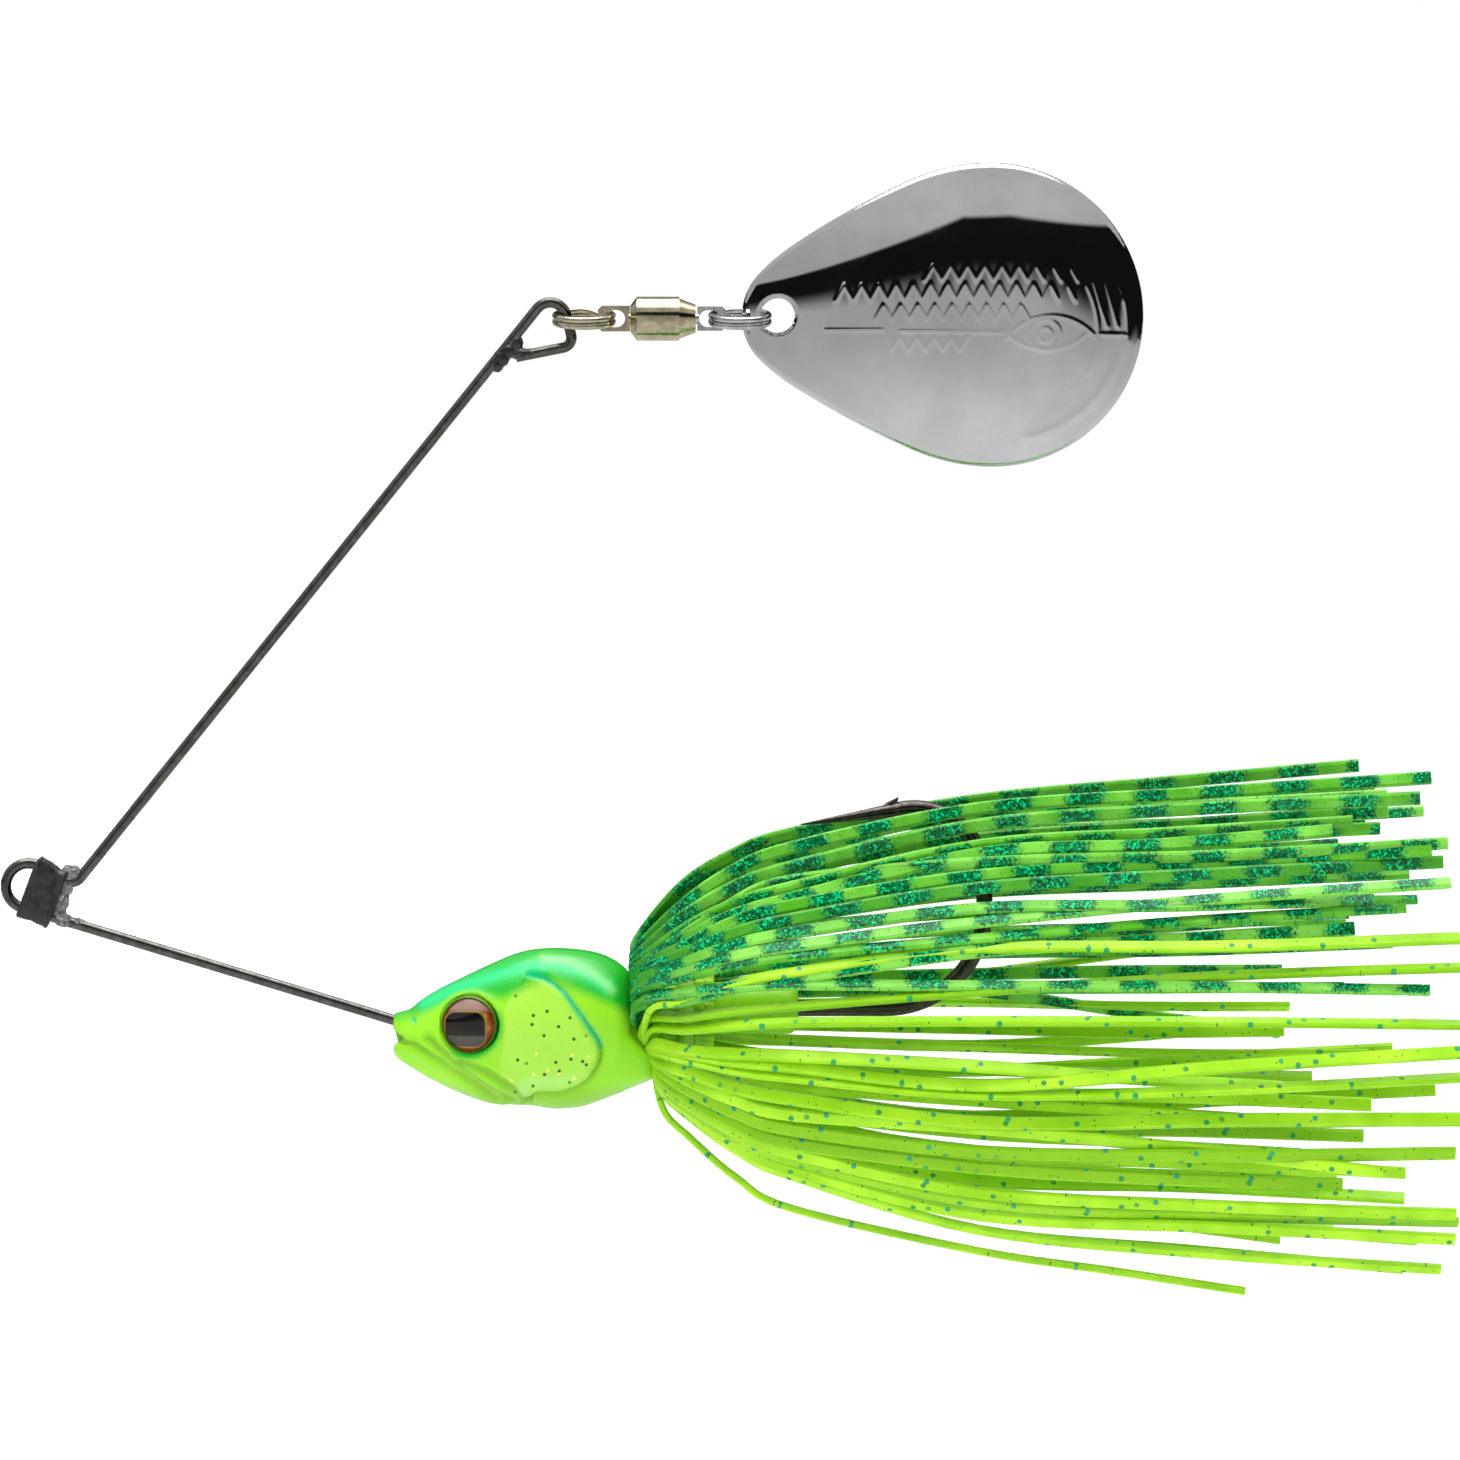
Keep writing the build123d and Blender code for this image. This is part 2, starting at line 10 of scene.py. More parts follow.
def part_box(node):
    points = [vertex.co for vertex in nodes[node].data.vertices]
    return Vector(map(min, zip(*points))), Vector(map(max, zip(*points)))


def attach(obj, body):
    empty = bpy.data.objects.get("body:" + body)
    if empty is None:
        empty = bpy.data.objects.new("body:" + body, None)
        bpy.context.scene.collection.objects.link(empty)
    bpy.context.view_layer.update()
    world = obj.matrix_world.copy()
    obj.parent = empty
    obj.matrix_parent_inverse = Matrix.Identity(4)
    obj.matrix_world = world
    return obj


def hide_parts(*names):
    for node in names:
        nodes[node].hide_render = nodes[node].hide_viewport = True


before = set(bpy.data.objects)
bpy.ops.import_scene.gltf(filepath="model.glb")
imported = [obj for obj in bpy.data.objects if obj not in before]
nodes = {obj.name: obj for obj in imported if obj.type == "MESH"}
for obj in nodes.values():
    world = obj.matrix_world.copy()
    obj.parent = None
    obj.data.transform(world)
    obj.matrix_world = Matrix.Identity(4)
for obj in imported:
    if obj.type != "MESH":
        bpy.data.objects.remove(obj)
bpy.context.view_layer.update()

# Lengths are written in millimetres and turned into metres where meshes are made.
MM = 0.001

# driving places of the CAD frame, in millimetres
SHANK_Z = -9.3
CHAIN_Z = 42.4
RING_ROLL = radians(13)
STEM_RADIUS = 1.95
EYE_CENTRE = (33.97, 3.2, -10.45)
EYE_TURN = radians(12)
EYE_RADIUS = 2.0

# ------------------------------------------------------------------------- mesh tools


def millimetres(corner):
    """A corner of a box of the frame as an array in millimetres."""
    return np.array(corner) / MM


def smoothstep(low, high, value):
    """0 below low, 1 above high, smooth between; low may be above high."""
    t = np.clip((np.asarray(value, float) - low) / (high - low), 0, 1)
    return t * t * (3 - 2 * t)


def hump(value, middle, width):
    """A smooth hump of height 1."""
    return np.exp(-(((value - middle) / width) ** 2))


def through(points, count):
    """Count points spread along a smooth curve through the given ones."""
    points = np.asarray(points, float)
    last = len(points) - 1
    t = np.linspace(0, last, count)
    k = np.minimum(t.astype(int), last - 1)
    f = (t - k)[:, None]
    p0, p1 = points[np.maximum(k - 1, 0)], points[k]
    p2, p3 = points[k + 1], points[np.minimum(k + 2, last)]
    bend = (2 * p0 - 5 * p1 + 4 * p2 - p3) * f**2 + (3 * p1 - p0 - 3 * p2 + p3) * f**3
    return p1 + 0.5 * ((p2 - p0) * f + bend)


def distance_to(points, line):
    """Distance from each 2-D point to a polyline."""
    points, line = np.asarray(points, float), np.asarray(line, float)
    nearest = np.full(len(points), 1e9)
    for a, b in zip(line[:-1], line[1:]):
        run = b - a
        share = np.clip((points - a) @ run / (run @ run), 0, 1)
        gap = np.linalg.norm(points - a - share[:, None] * run, axis=1)
        nearest = np.minimum(nearest, gap)
    return nearest


def inside(points, loop):
    """Whether each 2-D point lies inside a closed loop."""
    points, loop = np.asarray(points, float), np.asarray(loop, float)
    x, z = points[:, 0], points[:, 1]
    crossed = np.zeros(len(points), bool)
    for (ax, az), (bx, bz) in zip(loop, np.roll(loop, -1, axis=0)):
        if az != bz:
            crossed ^= ((az > z) != (bz > z)) & (x < ax + (z - az) * (bx - ax) / (bz - az))
    return crossed


def lathe_faces(rings, around):
    """Faces that join rings of points lying one after another."""
    faces = []
    for k in range(rings - 1):
        for j in range(around):
            n = (j + 1) % around
            faces.append((k * around + j, k * around + n, (k + 1) * around + n, (k + 1) * around + j))
    return faces


def tube_faces(rings, around):
    """Faces of a closed tube with a flat cap at each end."""
    last = (rings - 1) * around
    caps = [tuple(reversed(range(around))), tuple(range(last, last + around))]
    return lathe_faces(rings, around) + caps


def mesh_piece(name, points, faces, material, body, stands_for=(), attributes=None, sharp=None):
    """A smooth-shaded mesh from millimetre points, riding on a body of the frame."""
    mesh = bpy.data.meshes.new(name)
    mesh.from_pydata([tuple(p) for p in np.asarray(points, float) * MM], [], faces)
    for key, values in (attributes or {}).items():
        values = np.asarray(values, np.float32)
        kind, field = ("FLOAT", "value") if values.ndim == 1 else ("FLOAT_COLOR", "color")
        mesh.attributes.new(key, kind, "POINT").data.foreach_set(field, values.ravel())
    mesh.validate()
    piece = bpy.data.objects.new(name, mesh)
    bpy.context.scene.collection.objects.link(piece)
    editing = bmesh.new()
    editing.from_mesh(mesh)
    bmesh.ops.recalc_face_normals(editing, faces=editing.faces)
    editing.to_mesh(mesh)
    editing.free()
    mesh.polygons.foreach_set("use_smooth", [True] * len(mesh.polygons))
    if sharp:
        mesh.set_sharp_from_angle(angle=radians(sharp))
    mesh.materials.append(material)
    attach(piece, body)
    if stands_for:
        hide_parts(*stands_for)
    return piece


def carried(start, path):
    """Unit vectors square to the path, carried along it from a first direction without spin."""
    heading = np.gradient(path, axis=0)
    heading /= np.linalg.norm(heading, axis=1)[:, None]
    across = np.asarray(start, float)
    out = []
    for h in heading:
        across = across - (across @ h) * h
        across = across / np.linalg.norm(across)
        out.append(across)
    out = np.array(out)
    return out, np.cross(heading, out)


def swept(path, section, start, twist=0, size=1):
    """Rings of a section (pairs across and up) carried along a path, twisted and scaled."""
    across, up = carried(start, path)
    turn = np.broadcast_to(twist, len(path))[:, None]
    wide = np.cos(turn) * across + np.sin(turn) * up
    tall = -np.sin(turn) * across + np.cos(turn) * up
    size = np.broadcast_to(size, len(path))[:, None]
    rings = [path + size * (a * wide + b * tall) for a, b in section]
    return np.stack(rings, axis=1).reshape(-1, 3)


def circle_section(radius, count):
    """Points of a circle as pairs across and up."""
    turns = [2 * pi * k / count for k in range(count)]
    return [(radius * cos(t), radius * sin(t)) for t in turns]


def blob(name, balls, voxel, rough, material, body, stands_for):
    """One lumpy closed skin over overlapping ellipsoids: centre and half sizes, in millimetres."""
    editing = bmesh.new()
    for centre, sizes in balls:
        for v in bmesh.ops.create_icosphere(editing, subdivisions=4, radius=1)["verts"]:
            v.co = Vector([c + s * x for c, s, x in zip(centre, sizes, v.co)]) * MM
    rough_mesh = bpy.data.meshes.new(name + "_balls")
    editing.to_mesh(rough_mesh)
    editing.free()
    source = bpy.data.objects.new(name + "_balls", rough_mesh)
    bpy.context.scene.collection.objects.link(source)
    remesh = source.modifiers.new("skin", "REMESH")
    remesh.mode, remesh.voxel_size = "VOXEL", voxel * MM
    relax = source.modifiers.new("relax", "SMOOTH")
    relax.iterations, relax.factor = 6, 0.6
    evaluated = source.evaluated_get(bpy.context.evaluated_depsgraph_get())
    skin = bpy.data.meshes.new_from_object(evaluated)
    points = np.array([v.co for v in skin.vertices]) / MM
    normals = np.array([v.normal for v in skin.vertices])
    faces = [tuple(p.vertices) for p in skin.polygons]
    bpy.data.objects.remove(source)
    lumps = np.array([noise.fractal(Vector(p) * 3.1, 0.7, 2.0, 4) for p in points])
    points = points + rough * lumps[:, None] * normals
    return mesh_piece(name, points, faces, material, body, stands_for)


# --------------------------------------------------------------------- shader tools


class Nodes:
    """Short ways to add nodes to a tree."""

    def __init__(self, tree):
        self.tree = tree

    def put(self, socket, value):
        """Sets or links one socket."""
        if isinstance(value, bpy.types.NodeSocket):
            self.tree.links.new(value, socket)
        elif value is not None:
            socket.default_value = value

    def node(self, kind, inputs=(), **settings):
        made = self.tree.nodes.new("ShaderNode" + kind)
        for key, value in settings.items():
            setattr(made, key, value)
        for key, value in dict(inputs).items():
            self.put(made.inputs[key], value)
        return made

    def sum(self, operation, a, b=None):
        made = self.node("Math", operation=operation)
        self.put(made.inputs[0], a)
        self.put(made.inputs[1], b)
        return made.outputs[0]

    def wrap(self, value, pitch):
        """The value's place within its pitch."""
        return self.node("Math", {0: value, 1: pitch, 2: 0.0}, operation="WRAP").outputs[0]

    def times(self, a, b):
        return self.sum("MULTIPLY", a, b)

    def plus(self, a, b):
        return self.sum("ADD", a, b)

    def minus(self, a, b):
        return self.sum("SUBTRACT", a, b)

    def ease(self, value, low, high, to_low=0.0, to_high=1.0):
        """A smooth step of a value from low to high."""
        inputs = {"Value": value, "From Min": low, "From Max": high, "To Min": to_low, "To Max": to_high}
        return self.node("MapRange", inputs, interpolation_type="SMOOTHSTEP").outputs["Result"]

    def parts(self, vector):
        return self.node("SeparateXYZ", {0: vector}).outputs

    def joined(self, x, y, z):
        return self.node("CombineXYZ", {0: x, 1: y, 2: z}).outputs[0]


class Shader(Nodes):
    """A material with one Principled surface."""

    def __init__(self, name, **sockets):
        self.material = bpy.data.materials.new(name)
        self.material.use_nodes = True
        super().__init__(self.material.node_tree)
        self.surface = next(n for n in self.tree.nodes if n.type == "BSDF_PRINCIPLED")
        for key, value in sockets.items():
            self.set(key.replace("_", " "), value)

    def set(self, socket, value):
        """Sets or links one socket of the surface."""
        self.put(self.surface.inputs[socket], value)

    def place(self, stretch=(1, 1, 1)):
        """The point on the piece in millimetres, each axis stretched by a factor."""
        source = self.node("TexCoord").outputs["Object"]
        factors = tuple(s / MM for s in stretch)
        return self.node("VectorMath", {0: source, 1: factors}, operation="MULTIPLY").outputs[0]

    def value(self, name):
        """A number stored on the mesh."""
        return self.node("Attribute", attribute_name=name).outputs["Fac"]

    def colour(self, name):
        """A colour stored on the mesh."""
        return self.node("Attribute", attribute_name=name).outputs["Color"]

    def mix(self, share, a, b):
        made = self.node("Mix", data_type="RGBA")
        self.put(made.inputs[0], share)
        for socket, value in ((made.inputs[6], a), (made.inputs[7], b)):
            self.put(socket, (*value, 1) if isinstance(value, tuple) else value)
        return made.outputs[2]

    def noise(self, scale, place, detail=3.0, roughness=0.6):
        inputs = {"Vector": place, "Scale": scale, "Detail": detail, "Roughness": roughness}
        return self.node("TexNoise", inputs).outputs["Fac"]

    def cells(self, scale, place, dimensions="3D"):
        """Voronoi cells; in 2-D they follow the first two coordinates of the place."""
        return self.node("TexVoronoi", {"Vector": place, "Scale": scale}, voronoi_dimensions=dimensions)

    def flecks(self, scale, place, size, rarity):
        """Round spots of a given size in cells, left out where a cell's tone is below a rarity.

        The size and the rarity are pairs that the spot's edge and the choice fade between. The
        second result is the cells' tones.
        """
        found = self.cells(scale, place, "2D")
        tone = self.parts(found.outputs["Color"])
        return self.times(self.ease(found.outputs["Distance"], *size), self.ease(tone[0], *rarity)), tone

    def bump(self, height, strength, depth):
        """Relief from a height of 0 to 1, depth in millimetres."""
        inputs = {"Height": height, "Strength": strength, "Distance": depth * MM}
        self.set("Normal", self.node("Bump", inputs).outputs[0])


def metal(name, dark, light, roughness, streaks, grain, wear=0.0):
    """Plated metal: tone and gloss vary with grain, drawn into streaks by its axes' factors."""
    sh = Shader(name, Metallic=1.0)
    tone = sh.noise(1.6, sh.place(), 4.0)
    lines = sh.noise(grain, sh.place(streaks), 4.0, 0.7)
    mixed = sh.mix(sh.ease(tone, 0.35, 0.7), dark, light)
    spots = sh.ease(sh.noise(7.0, sh.place(), 2.0), 0.62, 0.72)
    sh.set("Base Color", sh.mix(sh.times(spots, wear), mixed, tuple(0.45 * c for c in dark)))
    sh.set("Roughness", sh.ease(lines, 0.2, 0.85, roughness[0], roughness[1]))
    sh.bump(lines, 0.08, 0.004)
    return sh.material


# ------------------------------------------------------------------------- materials


BAR_PITCH = 5.2
SEED_SHIFT = 91.0


def strand_shader(name, roughness, scatter):
    """Clear soft silicone, and the leg's own flat coordinates, apart from one leg to the next."""
    sh = Shader(name, Roughness=roughness, IOR=1.42, Specular_IOR_Level=0.3)
    sh.set("Subsurface Weight", 0.25)
    sh.set("Subsurface Radius", scatter)
    sh.set("Subsurface Scale", 0.7 * MM)
    along, across, seed = sh.value("along"), sh.value("across"), sh.value("seed")
    flat = sh.joined(sh.plus(along, sh.times(seed, SEED_SHIFT)), across, seed)
    return sh, along, across, seed, flat


def barred_strand_material():
    """Clear green silicone with fuzzy bars of emerald glitter and mint sparkles painted on a few flakes as
    glints; painted light and shade on paler and darker legs, and painted shade towards the root.
    """
    sh, along, across, seed, flat = strand_shader("strand_barred", 0.32, (0.35, 0.9, 0.25))
    fuzz = sh.times(sh.minus(sh.noise(3.2, flat, 5.0, 0.8), 0.5), 3.0)
    drift = sh.times(sh.minus(sh.noise(0.13, flat, 1.0), 0.5), 1.2)
    shifted = sh.plus(sh.plus(along, sh.times(seed, BAR_PITCH)), drift)
    in_pitch = sh.wrap(shifted, BAR_PITCH)
    from_middle = sh.sum("ABSOLUTE", sh.minus(in_pitch, BAR_PITCH / 2))
    bar = sh.ease(sh.plus(from_middle, fuzz), 1.75, 1.05)
    edge = sh.plus(sh.sum("ABSOLUTE", across), sh.times(fuzz, 0.20))
    bar = sh.times(bar, sh.ease(edge, 0.56, 0.36))
    flake_tone = sh.parts(sh.cells(8.0, flat, "2D").outputs["Color"])
    glitter_and_glints = sh.mix(sh.ease(flake_tone[0], 0.15, 0.85), (0.0, 0.06, 0.017), (0.0, 0.23, 0.065))
    # painted glints: a few glitter flakes are made bright mint as if catching the light
    glitter_and_glints = sh.mix(sh.ease(flake_tone[1], 0.80, 0.87), glitter_and_glints, (0.0, 0.66, 0.22))
    cloud = sh.ease(sh.noise(0.22, flat, 2.0), 0.3, 0.7)
    silicone = sh.mix(cloud, (0.085, 0.40, 0.016), (0.19, 0.60, 0.06))
    # painted light and shade: some legs get a lit, paler tone and some a shaded, darker one, chosen at
    # random by their seed
    silicone = sh.mix(sh.ease(seed, 0.55, 0.95, 0.0, 0.55), silicone, (0.30, 0.72, 0.12))
    silicone = sh.mix(sh.ease(seed, 0.35, 0.05, 0.0, 0.6), silicone, (0.03, 0.27, 0.01))
    # painted shade: the legs darken towards their root, where they crowd together under the head
    root_shade = sh.ease(along, 17.0, 4.0)
    silicone = sh.mix(sh.times(root_shade, 0.85), silicone, (0.008, 0.20, 0.012))
    stray_spot = sh.flecks(2.6, flat, (0.17, 0.10), (0.7, 0.75))[0]
    silicone = sh.mix(sh.times(stray_spot, 0.8), silicone, (0.0, 0.12, 0.03))
    sh.set("Base Color", sh.mix(bar, silicone, glitter_and_glints))
    sh.set("Roughness", sh.ease(bar, 0.0, 1.0, 0.34, 0.25))
    sh.bump(sh.times(bar, flake_tone[2]), 0.6, 0.03)
    return sh.material


def lime_strand_material():
    """Clear chartreuse silicone with sparse round teal flecks and tiny dark ones; painted shade on darker
    legs, towards the root and along each leg's edges.
    """
    sh, along, across, seed, flat = strand_shader("strand_lime", 0.34, (0.8, 1.0, 0.2))
    cloud = sh.ease(sh.noise(0.16, flat, 2.0), 0.3, 0.7)
    silicone = sh.mix(cloud, (0.29, 0.62, 0.010), (0.44, 0.80, 0.030))
    # painted shade: some legs are given a darker, shaded tone at random by their seed
    silicone = sh.mix(sh.ease(seed, 0.4, 0.1, 0.0, 0.75), silicone, (0.20, 0.47, 0.006))
    # painted shade: the legs darken towards their root at the band
    root_shade = sh.ease(along, 14.0, 1.0)
    silicone = sh.mix(sh.times(root_shade, 0.35), silicone, (0.20, 0.50, 0.01))
    # painted shade: each leg darkens towards its edges
    rim = sh.ease(sh.sum("ABSOLUTE", across), 0.40, 0.52)
    silicone = sh.mix(sh.times(rim, 0.35), silicone, (0.17, 0.45, 0.01))
    spot, teal_tone = sh.flecks(0.75, flat, (0.18, 0.13), (0.70, 0.74))
    teal = sh.mix(teal_tone[1], (0.0, 0.26, 0.07), (0.01, 0.33, 0.20))
    silicone = sh.mix(sh.times(spot, 0.9), silicone, teal)
    mote = sh.flecks(1.7, flat, (0.15, 0.09), (0.87, 0.9))[0]
    sh.set("Base Color", sh.mix(sh.times(mote, 0.8), silicone, (0.04, 0.13, 0.02)))
    sh.bump(sh.noise(5.0, flat, 2.0), 0.12, 0.03)
    return sh.material


def head_paint_material():
    """Gloss paint that blends from green to chartreuse, with dark and gold flecks under clear coat; the
    colour stored on the mesh also carries painted shade and highlight.
    """
    sh = Shader("head_paint", Roughness=0.35, Specular_IOR_Level=0.2, Coat_Weight=0.22, Coat_Roughness=0.06)
    paint, area, low_area = sh.colour("paint"), sh.value("fleck_area"), sh.value("gold_area")
    pearl = sh.noise(9.0, sh.place(), 3.0)
    base = sh.mix(sh.ease(pearl, 0.35, 0.75, 0.0, 0.05), paint, (0.70, 1.0, 0.45))
    spread = sh.parts(sh.place())
    dot = sh.flecks(0.98, sh.joined(spread[0], spread[2], 0.0), (0.15, 0.10), (0.45, 0.48))[0]
    base = sh.mix(sh.times(dot, area), base, (0.045, 0.085, 0.005))
    gold = sh.cells(1.05, sh.joined(spread[2], spread[0], 0.0), "2D")
    gold_tone = sh.parts(gold.outputs["Color"])
    glint = sh.times(sh.ease(gold.outputs["Distance"], 0.13, 0.08), sh.ease(gold_tone[1], 0.62, 0.66))
    base = sh.mix(sh.times(glint, low_area), base, (0.95, 0.80, 0.16))
    sh.set("Base Color", base)
    sh.set("Roughness", sh.ease(sh.noise(1.2, sh.place(), 3.0), 0.3, 0.8, 0.28, 0.42))
    sh.bump(sh.noise(3.0, sh.place(), 4.0), 0.08, 0.05)
    return sh.material


def iris_material():
    """Printed eye: copper ring, gold inner arc, and a dark pupil set towards the nose, with a painted pale
    highlight over the top of the ring and a painted grey reflection low in the pupil.
    """
    sh = Shader("eye_print", Roughness=0.5, Specular_IOR_Level=0.15)
    spread = sh.parts(sh.place())
    right = sh.times(sh.minus(spread[0], EYE_CENTRE[0]), 1 / (EYE_RADIUS * cos(EYE_TURN)))
    up = sh.times(sh.minus(spread[2], EYE_CENTRE[2]), 1 / EYE_RADIUS)
    radius = sh.sum("SQRT", sh.plus(sh.times(right, right), sh.times(up, up)))
    grain = sh.noise(6.0, sh.place(), 4.0, 0.7)
    fibres = sh.cells(3.2, sh.joined(right, up, 0.0))
    ring = sh.mix(sh.ease(radius, 0.72, 1.0), (0.75, 0.10, 0.02), (0.40, 0.03, 0.01))
    ring = sh.mix(sh.ease(grain, 0.4, 0.75, 0.0, 0.45), ring, (0.85, 0.30, 0.08))
    # painted highlight: a pale pink patch over the top of the ring
    painted_highlight_top = sh.times(sh.ease(up, 0.42, 0.62), sh.ease(radius, 0.97, 0.88))
    gold_share = sh.times(sh.ease(radius, 0.84, 0.70), sh.ease(sh.plus(up, right), -0.35, 0.2))
    gold_tone = sh.ease(fibres.outputs["Distance"], 0.0, 0.5)
    ring = sh.mix(gold_share, ring, sh.mix(gold_tone, (0.95, 0.62, 0.10), (0.62, 0.24, 0.03)))
    beyond_side = sh.minus(sh.sum("ABSOLUTE", sh.plus(right, 0.16)), 0.37)
    beyond_top = sh.minus(sh.sum("ABSOLUTE", sh.plus(up, 0.165)), 0.24)
    squares = [sh.sum("POWER", sh.sum("MAXIMUM", beyond, 0.0), 2.0) for beyond in (beyond_side, beyond_top)]
    from_core = sh.sum("SQRT", sh.plus(*squares))
    pupil, halo = sh.ease(from_core, 0.39, 0.35), sh.ease(from_core, 0.47, 0.40)
    ring = sh.mix(sh.times(halo, 0.8), ring, (0.9, 0.55, 0.06))
    ring = sh.mix(sh.times(painted_highlight_top, 0.85), ring, (1.0, 0.70, 0.60))
    base = sh.mix(pupil, ring, (0.004, 0.002, 0.001))
    # painted reflection: a grey band across the bottom of the pupil
    painted_reflection_low = sh.times(pupil, sh.ease(up, -0.34, -0.42))
    sh.set("Base Color", sh.mix(sh.times(painted_reflection_low, 0.8), base, (0.20, 0.18, 0.15)))
    sh.bump(grain, 0.08, 0.02)
    return sh.material


def clear_dome_material():
    """Clear resin, polished unevenly."""
    sh = Shader("eye_resin", Base_Color=(0.98, 0.98, 0.97, 1), Transmission_Weight=1.0, IOR=1.5)
    sh.set("Roughness", sh.ease(sh.noise(1.5, sh.place(), 2.0), 0.3, 0.8, 0.0, 0.04))
    return sh.material


def chrome_material():
    """Mirror plate with faint polishing haze, hairlines and finger marks."""
    sh = Shader("blade_chrome", Metallic=1.0)
    haze = sh.noise(0.22, sh.place(), 4.0, 0.6)
    lines = sh.noise(0.8, sh.place((1, 1, 24)), 5.0, 0.75)
    sh.set("Base Color", sh.mix(sh.ease(haze, 0.35, 0.7), (0.60, 0.60, 0.61), (0.68, 0.68, 0.69)))
    sh.set("Roughness", sh.plus(sh.ease(haze, 0.4, 0.75, 0.02, 0.06), sh.ease(lines, 0.6, 0.85, 0.0, 0.05)))
    sh.bump(lines, 0.02, 0.004)
    return sh.material


def rubber_material(name, dark, light, roughness, scale):
    """Satin moulded rubber with a dusty bloom and fine pitting."""
    sh = Shader(name, Roughness=roughness)
    bloom = sh.noise(scale, sh.place(), 4.0, 0.65)
    sh.set("Base Color", sh.mix(sh.ease(bloom, 0.3, 0.75), dark, light))
    sh.set("Roughness", sh.ease(bloom, 0.25, 0.8, roughness - 0.1, roughness + 0.15))
    sh.bump(sh.noise(scale * 5, sh.place(), 5.0, 0.7), 0.35, 0.05)
    return sh.material


def adhesive_material():
    """Granular grey glue, half clear, with pale specks."""
    sh = Shader("adhesive", Roughness=0.45, IOR=1.5)
    grit = sh.cells(7.0, sh.place())
    tone = sh.noise(2.5, sh.place(), 4.0)
    base = sh.mix(sh.ease(tone, 0.3, 0.7), (0.045, 0.048, 0.045), (0.20, 0.21, 0.20))
    speck = sh.ease(sh.parts(grit.outputs["Color"])[0], 0.80, 0.92)
    sh.set("Base Color", sh.mix(sh.times(speck, 0.7), base, (0.42, 0.44, 0.42)))
    sh.bump(grit.outputs["Distance"], 0.7, 0.08)
    return sh.material


def floor_material():
    """Matt white studio floor with the faintest mottling."""
    sh = Shader("studio_white", Roughness=0.9, Specular_IOR_Level=0.0)
    tone = sh.noise(0.02, sh.place(), 2.0)
    sh.set("Base Color", sh.mix(tone, (0.90, 0.90, 0.90), (0.92, 0.92, 0.92)))
    return sh.material


EVEN = (1, 1, 1)
BLACK_NICKEL = ((0.06, 0.05, 0.047), (0.11, 0.095, 0.09))
wire_steel = metal("wire_nickel", (0.10, 0.097, 0.09), (0.17, 0.165, 0.155), (0.10, 0.20), EVEN, 3.0, 0.15)
hook_steel = metal("hook_black_nickel", *BLACK_NICKEL, (0.12, 0.24), EVEN, 3.0, 0.2)
solder_metal = metal("solder", (0.055, 0.053, 0.05), (0.13, 0.13, 0.125), (0.25, 0.45), EVEN, 3.0, 0.6)
ring_gold = metal("ring_gold_nickel", (0.46, 0.41, 0.30), (0.66, 0.61, 0.48), (0.10, 0.24), EVEN, 6.0, 0.3)
ring_bright = metal("ring_steel", (0.50, 0.50, 0.51), (0.68, 0.68, 0.70), (0.10, 0.22), EVEN, 6.0, 0.3)
brass = metal("swivel_brass", (0.40, 0.35, 0.23), (0.60, 0.54, 0.37), (0.08, 0.20), (10, 1, 1), 2.0, 0.25)
steel = metal("swivel_steel", (0.46, 0.46, 0.47), (0.66, 0.66, 0.68), (0.12, 0.26), (1, 1, 6), 3.0, 0.3)
ball_metal = metal("ball_steel", (0.60, 0.60, 0.61), (0.74, 0.74, 0.75), (0.06, 0.14), EVEN, 5.0)
barred_silicone = barred_strand_material()
lime_silicone = lime_strand_material()
head_paint = head_paint_material()
black_rubber = rubber_material("black_rubber", (0.008, 0.008, 0.0085), (0.03, 0.03, 0.031), 0.38, 1.3)
band_rubber = rubber_material("band_rubber", (0.22, 0.48, 0.02), (0.34, 0.66, 0.05), 0.5, 1.0)
glue = adhesive_material()

finishes = {
    "arm_wire": wire_steel,
    "hook": hook_steel,
    "eye_iris_left": iris_material(),
    "eye_iris_right": iris_material(),
    "eye_dome_left": clear_dome_material(),
    "eye_dome_right": clear_dome_material(),
    "swivel_front_eye": brass,
    "swivel_barrel": brass,
    "swivel_cap": brass,
    "swivel_rear_eye": steel,
    "bearing_washer": ball_metal,
    "bearing_balls": ball_metal,
}
for node_name, finish in finishes.items():
    nodes[node_name].data.materials.clear()
    nodes[node_name].data.materials.append(finish)

# a small rounding catches the light along the swivel's pressed edges
for node_name in ("swivel_front_eye", "swivel_barrel", "swivel_cap", "swivel_rear_eye"):
    rounding = nodes[node_name].modifiers.new("rounding", "BEVEL")
    rounding.width, rounding.segments = 0.06 * MM, 3
    rounding.limit_method, rounding.angle_limit = "ANGLE", radians(25)
    rounding.harden_normals = True

# ------------------------------------------------------------------------------ head

# side outline and half width from nose to gill: (x, top z, bottom z, half width)
HEAD_STATIONS = [
    (28.12, -10.35, -11.9, 0.25),
    (28.25, -9.75, -12.75, 0.95),
    (28.8, -9.55, -13.3, 1.5),
    (29.5, -9.3, -13.75, 1.95),
    (30.3, -8.65, -14.25, 2.45),
    (31.6, -7.85, -14.95, 3.05),
    (33.6, -6.86, -15.85, 3.72),
    (35.6, -5.92, -16.48, 4.2),
    (37.2, -5.25, -16.55, 4.48),
    (38.6, -4.9, -16.62, 4.65),
    (40.3, -4.78, -16.85, 4.75),
    (42.2, -4.9, -16.7, 4.7),
    (43.65, -5.2, -16.2, 4.45),
    (44.9, -5.78, -15.65, 4.05),
    (45.75, -6.55, -15.15, 3.5),
    (46.1, -7.6, -14.75, 2.8),
]
